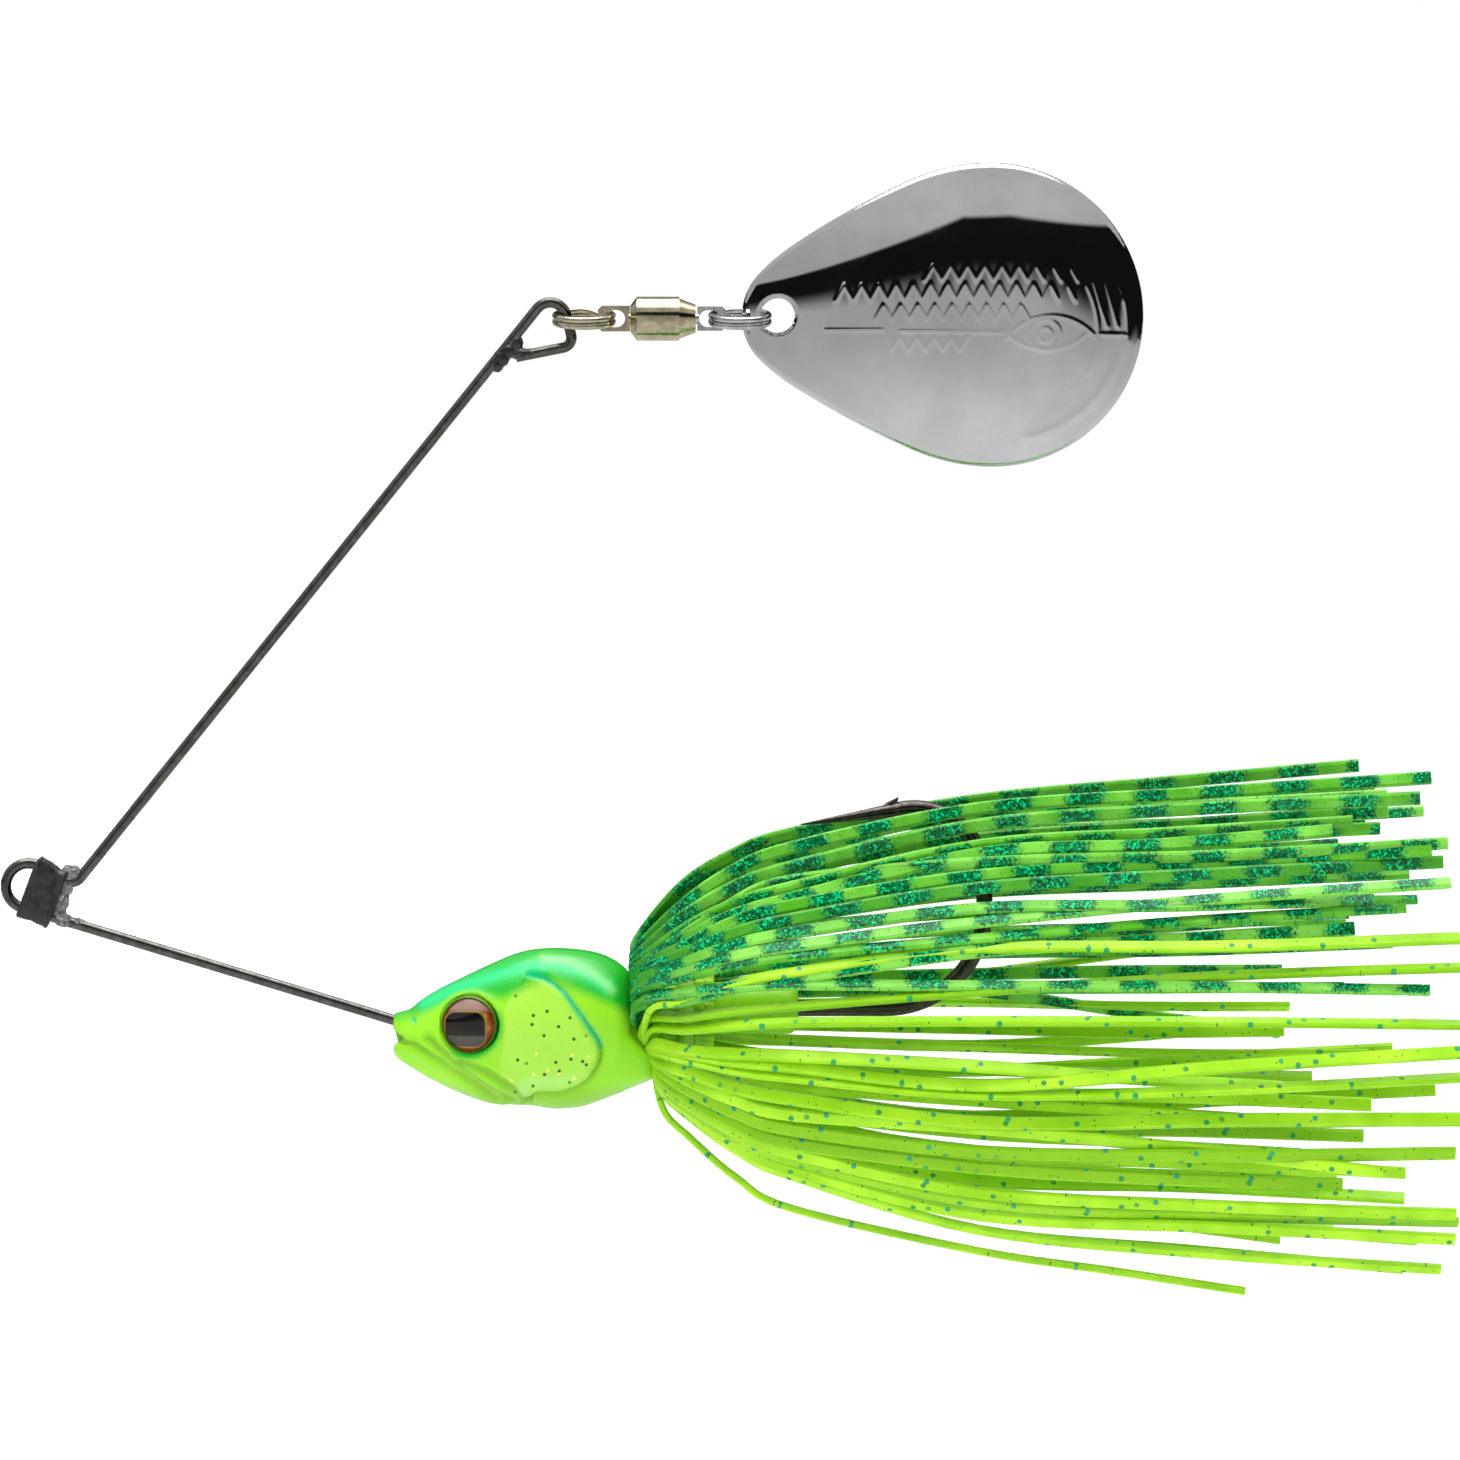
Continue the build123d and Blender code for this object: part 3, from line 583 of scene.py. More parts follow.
GILL_CORNERS = [
    (38.5, -6.7), (39.6, -7.0), (40.9, -7.9), (41.9, -9.2), (42.9, -10.6), (43.6, -11.6),
    (43.8, -12.5), (43.5, -13.5), (42.6, -14.7), (40.9, -15.45), (39.6, -15.5), (38.8, -15.6),
    (38.2, -16.3),
]
GILL_EDGE = [tuple(point) for point in through(GILL_CORNERS, 60)]
GILL_SHADE_TURN = 28
GILL_FRONT = [(36.9, -15.2), (36.2, -13.6), (36.6, -11.8), (36.5, -9.6), (37.3, -7.6)]
GILL_PLATE = GILL_EDGE + GILL_FRONT
JAW_GROOVES = [
    [(28.9, -11.75), (29.9, -12.0), (31.3, -12.85), (33.4, -14.25), (35.9, -16.0)],
    [(30.9, -11.5), (32.6, -13.0), (35.0, -14.85), (37.2, -16.1)],
    [(33.3, -13.1), (35.3, -13.95), (37.2, -15.2), (38.3, -16.1)],
]
GREEN_EDGE = [
    (28.0, -10.1), (29.6, -9.75), (31.5, -8.9), (34.0, -8.05), (36.5, -8.3), (38.5, -7.35),
    (40.2, -6.9), (42.0, -7.7), (44.0, -8.5), (48.0, -10.4),
]
MINT_BAND_AND_SHEEN = [
    (30.5, -8.9), (33.0, -7.7), (35.5, -6.9), (38.0, -6.2), (40.2, -5.85), (42.4, -6.4), (44.2, -7.6),
]
# painted highlight along the top ridge, behind the mint band
RIDGE_HIGHLIGHT = [(39.4, -5.5), (41.4, -5.75), (43.2, -6.6), (44.6, -7.9)]
REAR_SHOULDER = [(44.6, -7.6), (45.1, -10.2), (45.0, -13.0)]
NOSTRIL = (29.75, -10.15)
PAINT = {
    "green": (0.0, 0.40, 0.012),
    "mint": (0.0, 0.60, 0.20),
    "lime": (0.26, 0.66, 0.012),
    "pale": (0.34, 0.68, 0.05),
    "shaded_olive": (0.17, 0.40, 0.018),
    "silver": (0.36, 0.72, 0.24),
    "teal": (0.0, 0.48, 0.24),
}


def distance_from(spots, place):
    """Distance of each spot of the side view from one place."""
    return np.linalg.norm(spots - np.array(place), axis=1)


def head_relief(spots):
    """How far the cast surface stands out of the plain skull, in millimetres."""
    height = np.zeros(len(spots))
    plate = inside(spots, GILL_PLATE)
    edge = distance_to(spots, GILL_EDGE)
    height += np.where(plate, 0.30 * hump(edge, 0.35, 0.75), 0)
    height -= 0.26 * hump(edge, 0, 0.28)
    for groove in JAW_GROOVES:
        away = distance_to(spots, groove)
        height += 0.11 * hump(away, 0.6, 0.3) - 0.26 * hump(away, 0, 0.26)
    from_eye = distance_from(spots, EYE_CENTRE[::2])
    height += 0.10 * hump(from_eye, 2.42, 0.25) - 0.95 * smoothstep(2.26, 2.06, from_eye)
    height -= 0.12 * hump(distance_from(spots, NOSTRIL), 0, 0.17)
    notch = smoothstep(-15.9, -16.4, spots[:, 1]) * hump(spots[:, 0], 38.2, 0.34)
    shoulder = hump(distance_to(spots, REAR_SHOULDER), 0, 0.5)
    return height - 0.34 * notch + 0.08 * shoulder


def head_colour(spots):
    """The paint at each spot of the side view: green back, mint and teal blends, lime sides, with painted
    shade in olive on the belly, in the jaw grooves and under the gill edge, and a painted highlight along
    the top ridge.
    """
    x, z = spots[:, 0], spots[:, 1]
    line = np.array(GREEN_EDGE)
    green_line = np.interp(x, line[:, 0], line[:, 1])
    shades = {key: np.array(value) for key, value in PAINT.items()}

    def over(colour, share, shade):
        return colour + share[:, None] * (shades[shade] - colour)

    plate = inside(spots, GILL_PLATE)
    edge = distance_to(spots, GILL_EDGE)
    colour = np.tile(shades["lime"], (len(spots), 1))
    colour = over(colour, plate * smoothstep(0.0, 0.7, edge), "pale")
    # painted shade: the belly darkens to olive towards the bottom
    colour = over(colour, 0.6 * smoothstep(-14.4, -16.4, z), "shaded_olive")
    colour = over(colour, 0.45 * plate * hump(edge, 0.9, 0.5) * smoothstep(-13.5, -14.6, z), "silver")
    colour = over(colour, smoothstep(green_line - 0.75, green_line + 0.45, z), "green")
    # mint paint band along the top ridge, partly a painted sheen of the light along it
    colour = over(colour, 0.9 * hump(distance_to(spots, MINT_BAND_AND_SHEEN), 0, 0.5), "mint")
    # painted highlight: a pale silvery glow along the top ridge
    colour = over(colour, 0.45 * hump(distance_to(spots, RIDGE_HIGHLIGHT), 0, 0.36), "silver")
    # painted shade in olive along the jaw grooves
    for groove in JAW_GROOVES:
        colour = over(colour, 0.75 * hump(distance_to(spots, groove), 0, 0.24), "shaded_olive")
    # along the gill cover's edge: a teal line on the upper part, and painted shade in olive under the lower
    # part
    colour = over(colour, 0.85 * hump(distance_to(spots, GILL_EDGE[:GILL_SHADE_TURN]), 0.1, 0.15), "teal")
    colour = over(colour, 0.6 * hump(distance_to(spots, GILL_EDGE[GILL_SHADE_TURN:]), 0, 0.2), "shaded_olive")
    from_eye = distance_from(spots, EYE_CENTRE[::2])
    low_right = smoothstep(-0.6, 1.6, (x - EYE_CENTRE[0]) - (z - EYE_CENTRE[2]))
    colour = over(colour, low_right * hump(from_eye, 2.25, 0.28), "green")
    high_left = smoothstep(-0.8, 0.9, (z - EYE_CENTRE[2]) - 0.4 * (x - EYE_CENTRE[0]))
    colour = over(colour, 0.8 * high_left * hump(from_eye, 2.38, 0.16), "lime")
    return over(colour, 0.8 * hump(distance_from(spots, NOSTRIL), 0, 0.22), "teal")


def gill_reach(z):
    """How far the low rear corner of the gill cover reaches past the skull."""
    return 1.75 * smoothstep(-10.9, -13.2, z) - 1.2 * smoothstep(-14.2, -15.4, z)


def head_rings(count, around):
    """Rings of the skull from nose to gill, without relief, then the closing rings behind."""
    stations = through(HEAD_STATIONS, count)
    turns = np.linspace(0, 2 * pi, around, endpoint=False)
    rings = []
    for k, (x, top, bottom, half_width) in enumerate(stations):
        z = (top + bottom) / 2 + (top - bottom) / 2 * np.cos(turns)
        y = half_width * np.sin(turns)
        back = smoothstep(0.74, 1.0, k / (count - 1))
        bite = 0.95 * smoothstep(0.2, 0.0, k / (count - 1)) * hump(z, -11.5, 0.4)
        rings.append(np.stack([x + back * gill_reach(z) + bite, y, z], axis=1))
    inner = np.stack([np.full(around, 46.0), 1.8 * np.sin(turns), SHANK_Z + 1.8 * np.cos(turns)], axis=1)
    for share in (0.35, 0.7, 1.0):
        rings.append(rings[count - 1] * (1 - share) + inner * share)
    return np.concatenate(rings), len(rings)


def head_surface():
    """Points, faces and paint of the skull with its relief, and where its two kinds of fleck lie."""
    count, around = 190, 200
    points, rings = head_rings(count, around)
    faces = tube_faces(rings, around)
    mesh = bpy.data.meshes.new("skull")
    mesh.from_pydata([tuple(p) for p in points], [], faces)
    editing = bmesh.new()
    editing.from_mesh(mesh)
    bmesh.ops.recalc_face_normals(editing, faces=editing.faces)
    editing.verts.ensure_lookup_table()
    editing.normal_update()
    normals = np.array([v.normal for v in editing.verts])
    editing.free()
    bpy.data.meshes.remove(mesh)
    spots = points[:, [0, 2]]
    sideways = smoothstep(0.05, 0.45, np.abs(normals[:, 1]))
    relief = head_relief(spots) * sideways
    relief[count * around:] = 0
    points = points + relief[:, None] * normals
    fleck = smoothstep(0.25, 0.8, distance_to(spots, GILL_EDGE)) * inside(spots, GILL_PLATE)
    dark_area = fleck * smoothstep(-7.6, -8.6, spots[:, 1])
    gold_area = fleck * smoothstep(-11.5, -12.6, spots[:, 1])
    return points, faces, head_colour(spots), dark_area, gold_area


def turned(profile, centre, axis, up, around):
    """Points of a profile of (along, radius) turned about an axis."""
    axis, up = np.array(axis, float), np.array(up, float)
    side = np.cross(axis, up)
    turns = np.linspace(0, 2 * pi, around, endpoint=False)
    circle = np.cos(turns)[:, None] * up + np.sin(turns)[:, None] * side
    return np.concatenate([np.array(centre) + along * axis + radius * circle for along, radius in profile])


def joined_parts(parts):
    """Several (points, faces) as one."""
    points, faces, start = [], [], 0
    for part_points, part_faces in parts:
        points.append(part_points)
        faces += [tuple(i + start for i in face) for face in part_faces]
        start += len(part_points)
    return np.concatenate(points), faces


def make_head():
    """The painted casting: skull with relief, rims round the eyes, and the skirt stem."""
    skull, skull_faces, colour, dark_area, gold_area = head_surface()
    stem_end = millimetres(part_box("head")[1])[0]
    r = STEM_RADIUS
    stem_profile = [(45.5, r), (48.6, r), (53.5, r), (53.55, r - 0.1), (53.75, r - 0.1), (53.8, r)]
    corner = 0.8
    for t in np.linspace(0, pi / 2, 7):
        stem_profile.append((stem_end - corner + corner * sin(t), r - corner + corner * cos(t)))
    stem = turned(stem_profile, (0, 0, SHANK_Z), (1, 0, 0), (0, 0, 1), 64)
    parts = [(skull, skull_faces), (stem, tube_faces(len(stem_profile), 64))]
    rim_profile = [(-0.35, 2.0), (0.24, 2.01), (0.33, 2.03), (0.36, 2.07), (0.3, 2.12), (-0.35, 2.2)]
    for side in (-1, 1):
        x, y, z = EYE_CENTRE
        out = (-sin(EYE_TURN), side * cos(EYE_TURN), 0)
        rim = turned(rim_profile, (x, side * y, z), out, (0, 0, 1), 96)
        parts.append((rim, lathe_faces(len(rim_profile), 96)))
    points, faces = joined_parts(parts)
    extra = len(points) - len(skull)
    spots = points[len(skull):, [0, 2]]
    rest = np.tile(PAINT["lime"], (extra, 1))
    # painted shade: the rims round the eyes take the head's colour darkened to 0.4, a dark seam round each
    # eye
    rims = np.arange(extra) >= len(stem)
    rest[rims] = 0.4 * head_colour(spots)[rims]
    # the stored colour holds the paint together with its painted shade and highlight
    paint = np.ones((len(points), 4))
    paint[:, :3] = np.concatenate([colour, rest])
    attributes = {
        "paint": paint,
        "fleck_area": np.concatenate([dark_area, np.zeros(extra)]),
        "gold_area": np.concatenate([gold_area, np.zeros(extra)]),
    }
    mesh_piece("painted_head", points, faces, head_paint, "bait", ["head"],
               attributes, 50)


# ----------------------------------------------------------------------------- skirt

# how far the fullest legs stand from the shank, over it and under it: (x, distance)
UPPER_REACH = [
    (46.0, 4.0), (46.3, 5.4), (47.1, 6.8), (48.3, 8.1), (50.8, 10.3), (55.4, 12.6), (58.7, 13.5),
    (64.0, 14.6), (72.0, 15.8), (80.4, 16.6), (100.5, 18.2), (110.0, 18.8),
]
LOWER_REACH = [
    (46.0, 4.0), (47.7, 5.4), (49.1, 8.0), (52.1, 11.2), (55.4, 13.2), (60.4, 14.9), (65.0, 16.0),
    (72.0, 17.4), (78.3, 18.7), (91.6, 21.2), (110.0, 21.6),
]
STRAND_WIDTH = 1.0
STRAND_THICKNESS = 0.5
STRAND_RINGS = 64
SKIRT_FLATNESS = 0.70
NEAR, FAR = -1, 1

# Each leg seen from the side: its height over the shank at the first, third and fourth
# station (strand_path works out the second), then the tip's x and height, the angle round
# the shank at which it leaves the waist, and its side.
STATIONS = (50.0, 53.5, 58.0, 72.0)
SECOND_STATION_SHARE = 0.57
SHOULDER_X = 46.9
LOWER_SETBACK = 1.5
BARRED_LEGS = [
    (9.25, 13.1, 15.6, 100.6, 18.2, 10, FAR), (7.9, 12.1, 15.0, 105.6, 17.3, 30, NEAR),
    (8.7, 12.6, 14.2, 102.1, 16.3, 20, FAR), (7.0, 10.7, 13.8, 104.6, 15.8, 38, NEAR),
    (6.5, 10.0, 12.9, 106.0, 14.7, 42, FAR), (6.0, 9.2, 12.3, 99.6, 14.1, 46, NEAR),
    (7.4, 11.2, 13.0, 101.6, 13.8, 34, FAR), (5.3, 8.4, 11.7, 98.0, 13.4, 52, NEAR),
    (5.6, 9.7, 11.0, 106.4, 12.5, 50, NEAR), (4.8, 7.9, 10.1, 105.2, 12.0, 57, NEAR),
    (4.3, 6.9, 9.2, 106.1, 11.1, 62, NEAR), (4.0, 6.5, 8.5, 105.1, 10.0, 64, FAR),
    (3.0, 4.9, 6.7, 106.5, 9.6, 76, NEAR), (3.6, 5.9, 7.7, 101.0, 8.3, 70, NEAR),
    (2.6, 4.2, 5.5, 103.3, 7.7, 80, NEAR), (2.2, 3.6, 4.8, 100.6, 6.9, 84, FAR),
    (1.5, 2.1, 2.0, 104.9, 1.7, 100, NEAR), (0.3, 1.3, 0.9, 95.6, -2.4, 104, FAR),
    (1.8, 2.9, 3.8, 104.0, 4.6, 86, FAR), (0.9, 2.6, 4.6, 99.5, 6.2, 92, NEAR),
]
LIME_LEGS = [
    (0.9, 3.0, 4.75, 107.2, 5.5, 121, NEAR), (0.2, 0.9, 2.2, 94.0, 5.0, 112, FAR),
    (-0.4, 0.5, 1.6, 107.4, 3.4, 118, NEAR), (-1.3, -0.65, -0.55, 107.6, -0.85, 124, NEAR),
    (-1.0, -0.1, 0.0, 96.2, -0.3, 116, FAR), (-2.9, -3.1, -3.9, 93.7, -5.4, 130, NEAR),
    (-2.6, -2.9, -3.3, 95.5, -1.6, 122, FAR), (-3.5, -4.7, -6.0, 107.6, -4.7, 133, NEAR),
    (-3.1, -3.9, -5.3, 107.6, -2.8, 131, NEAR), (-4.5, -6.3, -8.1, 107.8, -7.8, 138, NEAR),
    (-4.0, -5.4, -7.2, 92.7, -7.5, 134, FAR), (-4.9, -7.0, -8.7, 107.3, -6.6, 138, FAR),
    (-5.8, -8.6, -10.3, 106.8, -10.3, 145, NEAR), (-5.1, -7.5, -8.5, 101.4, -11.7, 141, NEAR),
    (-5.5, -8.0, -9.6, 101.7, -10.1, 143, FAR), (-6.5, -9.7, -11.5, 98.6, -12.7, 150, NEAR),
    (-6.9, -10.2, -12.2, 97.7, -13.4, 152, FAR), (-6.9, -10.4, -13.4, 107.0, -14.9, 153, NEAR),
    (-7.3, -11.0, -14.2, 107.3, -15.6, 157, NEAR), (-7.6, -11.7, -15.2, 107.0, -16.8, 160, NEAR),
    (-7.9, -12.2, -16.4, 106.2, -19.2, 164, NEAR), (-8.1, -12.7, -16.8, 104.3, -19.9, 167, FAR),
    (-9.7, -15.0, -18.2, 92.0, -21.2, 176, NEAR), (-6.2, -9.1, -11.2, 105.0, -13.0, 147, FAR),
    (-3.7, -5.0, -5.2, 104.2, -3.6, 132, FAR), (-8.0, -12.0, -15.7, 105.5, -17.9, 162, FAR),
    (-5.0, -7.2, -9.5, 103.0, -9.0, 142, FAR),
]
# legs inside the far half that the nearer ones mostly hide
HIDDEN_BARRED = 12
HIDDEN_LIME = 10


def strand_section(width, thickness):
    """A flat strip's section with rounded edges."""
    a, b = width / 2, thickness / 2
    c = 0.3 * thickness
    return [(-a + c, -b), (0, -b), (a - c, -b), (a, -b + c), (a, b - c), (a - c, b), (0, b), (-a + c, b),
            (-a, b - c), (-a, -b + c)]


def depth_at(x, rise, side):
    """How far to its side a leg lies so that it stays on the skirt's flattened shell."""
    reach = np.interp(x, *zip(*(UPPER_REACH if rise > 0 else LOWER_REACH)))
    flat = 1 - (1 - SKIRT_FLATNESS) * smoothstep(47.0, 75.0, x)
    return side * flat * np.sqrt(max(reach**2 - rise**2, 0.0) + 0.3)


def strand_path(leg, rng):
    """A leg's centre line from under the band, forwards round the fold, and back to its tip.

    The leg's side is 1 or -1 on the outer shell, and nearer to 0 for a leg that lies inside it.
    """
    *rises, tip_x, tip_rise, root_angle, side = leg
    way = np.sign(side)
    turn = radians(root_angle)
    push = LOWER_SETBACK * smoothstep(0.1, 0.9, -cos(turn))
    path = []
    for x, radius in ((49.3, 2.4), (47.8 + 0.4 * push, 2.75), (46.25 + push, 4.0)):
        path.append((x, way * radius * sin(turn), radius * cos(turn)))
    shoulder_x = SHOULDER_X + push
    shoulder_rise = (0.61 + 0.17 * smoothstep(0, -0.9, cos(turn))) * rises[0]
    if abs(rises[0]) < 5:
        shoulder_rise += 0.6 * cos(turn)
    path.append((shoulder_x, 0.92 * depth_at(shoulder_x, shoulder_rise, side), shoulder_rise))
    rises.insert(1, rises[0] + SECOND_STATION_SHARE * (rises[1] - rises[0]))
    for x, rise in zip(STATIONS, rises):
        path.append((x + 0.27 * push * (x < 55), depth_at(x, rise, side), rise))
    half_rise = 0.5 * (rises[-1] + tip_rise) + rng.uniform(-0.25, 0.25)
    half_x = 0.5 * (STATIONS[-1] + tip_x)
    path.append((half_x, depth_at(half_x, half_rise, side) * rng.uniform(0.85, 1.0), half_rise))
    path.append((tip_x, depth_at(tip_x, tip_rise, side) * rng.uniform(0.75, 1.0), tip_rise))
    return through(np.array(path) + np.array([0, 0, SHANK_Z]), STRAND_RINGS), turn


def strand_mesh(path, start_angle, side, rng):
    """One leg as a closed flat strip with square-cut ends, and its surface coordinates."""
    section = strand_section(STRAND_WIDTH * rng.uniform(0.92, 1.08), STRAND_THICKNESS)
    around = (0, side * cos(start_angle), -sin(start_angle))
    t = np.linspace(0, 1, STRAND_RINGS)
    from_edge = min(start_angle, pi - start_angle)
    facing = rng.uniform(0.6, 0.95) * smoothstep(0.25, 0.6, from_edge) * smoothstep(0.1, 0.4, t)
    twist = -side * (pi / 2 - start_angle) * facing + rng.uniform(-0.7, 0.7) * t**1.3
    size = 0.78 + 0.22 * smoothstep(0.0, 0.3, t)
    points = swept(path, section, around, twist, size)
    steps = np.linalg.norm(np.diff(path, axis=0), axis=1)
    along = np.concatenate([[0], np.cumsum(steps)])
    count = len(section)
    attributes = {
        "along": np.repeat(along, count),
        "across": np.tile([a for a, b in section], STRAND_RINGS),
        "seed": np.full(STRAND_RINGS * count, rng.uniform(0, 1)),
    }
    return (points, tube_faces(STRAND_RINGS, count)), attributes


def strand_group(name, legs, material, stands_for, rng):
    """Many legs as one piece, each given as a row of the tables above."""
    parts, stored = [], {"along": [], "across": [], "seed": []}
    for leg in legs:
        path, start_angle = strand_path(leg, rng)
        part, attributes = strand_mesh(path, start_angle, np.sign(leg[-1]), rng)
        parts.append(part)
        for key, values in attributes.items():
            stored[key].append(values)
    points, faces = joined_parts(parts)
    attributes = {key: np.concatenate(values) for key, values in stored.items()}
    return mesh_piece(name, points, faces, material, "bait", stands_for, attributes, 40)


def hidden_legs(count, low, high, rng):
    """Rows for legs inside the skirt's far half, spread between two tip heights."""
    legs = []
    for k in range(count):
        rise = low + (high - low) * (k + rng.uniform(0.2, 0.8)) / count
        shares = (rng.uniform(0.42, 0.5), rng.uniform(0.66, 0.76), rng.uniform(0.82, 0.92))
        root_angle = 95 - 4.2 * rise
        side = FAR * rng.uniform(0.25, 0.8)
        legs.append((*(share * rise for share in shares), rng.uniform(94, 106), rise, root_angle, side))
    return legs


def make_skirt():
    """Barred legs over lime ones, each colour in one piece for the near and one for the far side."""
    rng = np.random.RandomState(11)
    rows = {"barred": BARRED_LEGS, "lime": LIME_LEGS}
    more = {
        "barred": hidden_legs(HIDDEN_BARRED, 1.0, 16.5, rng),
        "lime": hidden_legs(HIDDEN_LIME, -19.0, -1.0, rng),
    }
    for colour, material in (("barred", barred_silicone), ("lime", lime_silicone)):
        near = [leg for leg in rows[colour] if leg[-1] == NEAR]
        far = [leg for leg in rows[colour] if leg[-1] == FAR] + more[colour]
        strand_group(f"{colour}_legs_near", near, material, [f"skirt_{colour}_front"], rng)
        strand_group(f"{colour}_legs_far", far, material, [f"skirt_{colour}_rear"], rng)


def make_waist():
    """The strands' folded middles round the stem, and the rubber band that grips them."""
    low, high = (millimetres(c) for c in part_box("skirt_bundle"))
    lobes, count = 26, 17
    around = lobes * 8
    turns = np.linspace(0, 2 * pi, around, endpoint=False)
    rings = []
    for t in np.linspace(0, 1, count):
        x = low[0] + (high[0] - low[0]) * t
        squeeze = 1 - 0.10 * hump(t, 0.47, 0.16)
        radius = (2.72 + 0.16 * np.abs(np.cos(lobes * turns / 2 + 0.3 * t))) * squeeze
        ring = [np.full(around, x), radius * np.sin(turns), SHANK_Z + radius * np.cos(turns)]
        rings.append(np.stack(ring, axis=1))
    points = np.concatenate(rings)
    attributes = {
        "along": points[:, 0] - low[0] + 4,
        "across": np.tile(0.45 * np.sin(lobes * turns), count),
        "seed": np.full(len(points), 0.37),
    }
    faces = tube_faces(count, around)
    mesh_piece("strand_waist", points, faces, lime_silicone, "bait", ["skirt_bundle"],
               attributes)
    low, high = (millimetres(c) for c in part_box("skirt_band"))
    middle, half = (low[0] + high[0]) / 2, (high[0] - low[0]) / 2
    turns = np.linspace(0, 2 * pi, 28, endpoint=False)
    profile = [(middle + half * cos(t) * (1 - 0.08 * sin(t)), 3.2 + 0.40 * sin(t)) for t in turns]
    band = turned(profile + profile[:1], (0, 0, SHANK_Z), (1, 0, 0), (0, 0, 1), 96)
    faces = lathe_faces(len(profile) + 1, 96)
    mesh_piece("gripping_band", band, faces, band_rubber, "bait", ["skirt_band"])


# ----------------------------------------------------------------------------- blade

BLADE_Z = 42.6
BLADE_BALL = (70.5, 22.4)
BLADE_FRONT_RADIUS = 27.0
BLADE_BACK_RADIUS = 26.56
BLADE_HOLE = (56.95, 1.3)
BLADE_ROUND = (73.01, 11.36)
BLADE_FLANK_ARCS = [(15.0, 24.0), (63.0, 9.2), (14.3, 12.9)]
BLADE_GRID = 0.125


def blade_outline(step):
    """The teardrop's edge as points of (x, height over its centre line), from arcs."""
    x, z = BLADE_ROUND
    heading, edge = 180.0, []
    arcs = BLADE_FLANK_ARCS + [(None, 90 - sum(turn for radius, turn in BLADE_FLANK_ARCS))]
    for radius, turn in arcs:
        if radius is None:
            radius = z / cos(radians(90 - turn))
        pieces = max(2, int(radius * radians(turn) / step))
        cx, cz = x - radius * sin(radians(heading)), z + radius * cos(radians(heading))
        for k in range(pieces):
            angle = radians(heading - 90 + turn * k / pieces)
            edge.append((cx + radius * cos(angle), cz + radius * sin(angle)))
        heading += turn
        angle = radians(heading - 90)
        x, z = cx + radius * cos(angle), cz + radius * sin(angle)
    upper = edge + [(x, 0.0)]
    lower = [(px, -pz) for px, pz in reversed(edge)]
    count = int(pi * BLADE_ROUND[1] / step)
    turns = [-pi / 2 + pi * k / count for k in range(1, count)]
    end = [(BLADE_ROUND[0] + BLADE_ROUND[1] * cos(t), BLADE_ROUND[1] * sin(t)) for t in turns]
    return upper + lower + end


def zigzag(start, end, z, height, pitch):
    """A row of pressed scales: a zigzag line."""
    count = int(round((end - start) / pitch * 2))
    return [(start + k * pitch / 2, z + (height if k % 2 else 0)) for k in range(count + 1)]


def arc_line(x, z, radius, start, end, count=24):
    """An arc as a polyline, angles in degrees."""
    turns = np.radians(np.linspace(start, end, count))
    return [(x + radius * cos(t), z + radius * sin(t)) for t in turns]


def blade_lines():
    """The pressed fish-scale pattern: scale rows, lateral line, tail rays, plain eye and gill arc."""
    lines = [
        zigzag(67.9, 80.0, 2.45, 1.15, 1.28), zigzag(61.3, 80.0, 0.95, 1.25, 1.28),
        zigzag(64.2, 75.6, -0.5, 1.1, 1.28), zigzag(65.4, 71.4, -2.75, 1.0, 1.28),
        [(60.5, -1.2), (64.8, -1.25)], [(66.0, -1.35), (74.0, -1.45)], [(80.5, -1.5), (83.2, -1.5)],
    ]
    lines += [arc_line(76.9, -1.6, 1.15, 0, 360, 40), arc_line(76.9, -1.6, 0.5, 0, 360, 24)]
    lines += [arc_line(77.4, -4.6, 4.4, 40, 142), arc_line(77.0, 1.6, 4.3, 222, 316)]
    lines += [arc_line(73.9, -1.2, 7.0, -28, 30), arc_line(74.6, -1.0, 8.6, -14, 24)]
    lines += [[(80.6 + 0.9 * k, 2.4), (81.1 + 0.9 * k, 0.6), (81.6 + 0.8 * k, -0.9)] for k in range(2)]
    return lines


def blade_crease():
    """The long pressed contour inside the round end."""
    return arc_line(73.6, 0.0, 9.5, -78, 6, 40)


def blade_half(flat_points, radius, press):
    """Where the flat points lie on one face, pressed out towards the viewer."""
    from_centre = (flat_points[:, 0] - BLADE_BALL[0]) ** 2 + flat_points[:, 1] ** 2
    depth = BLADE_BALL[1] - np.sqrt(radius**2 - from_centre) - press
    return np.stack([flat_points[:, 0], depth, BLADE_Z + flat_points[:, 1]], axis=1)


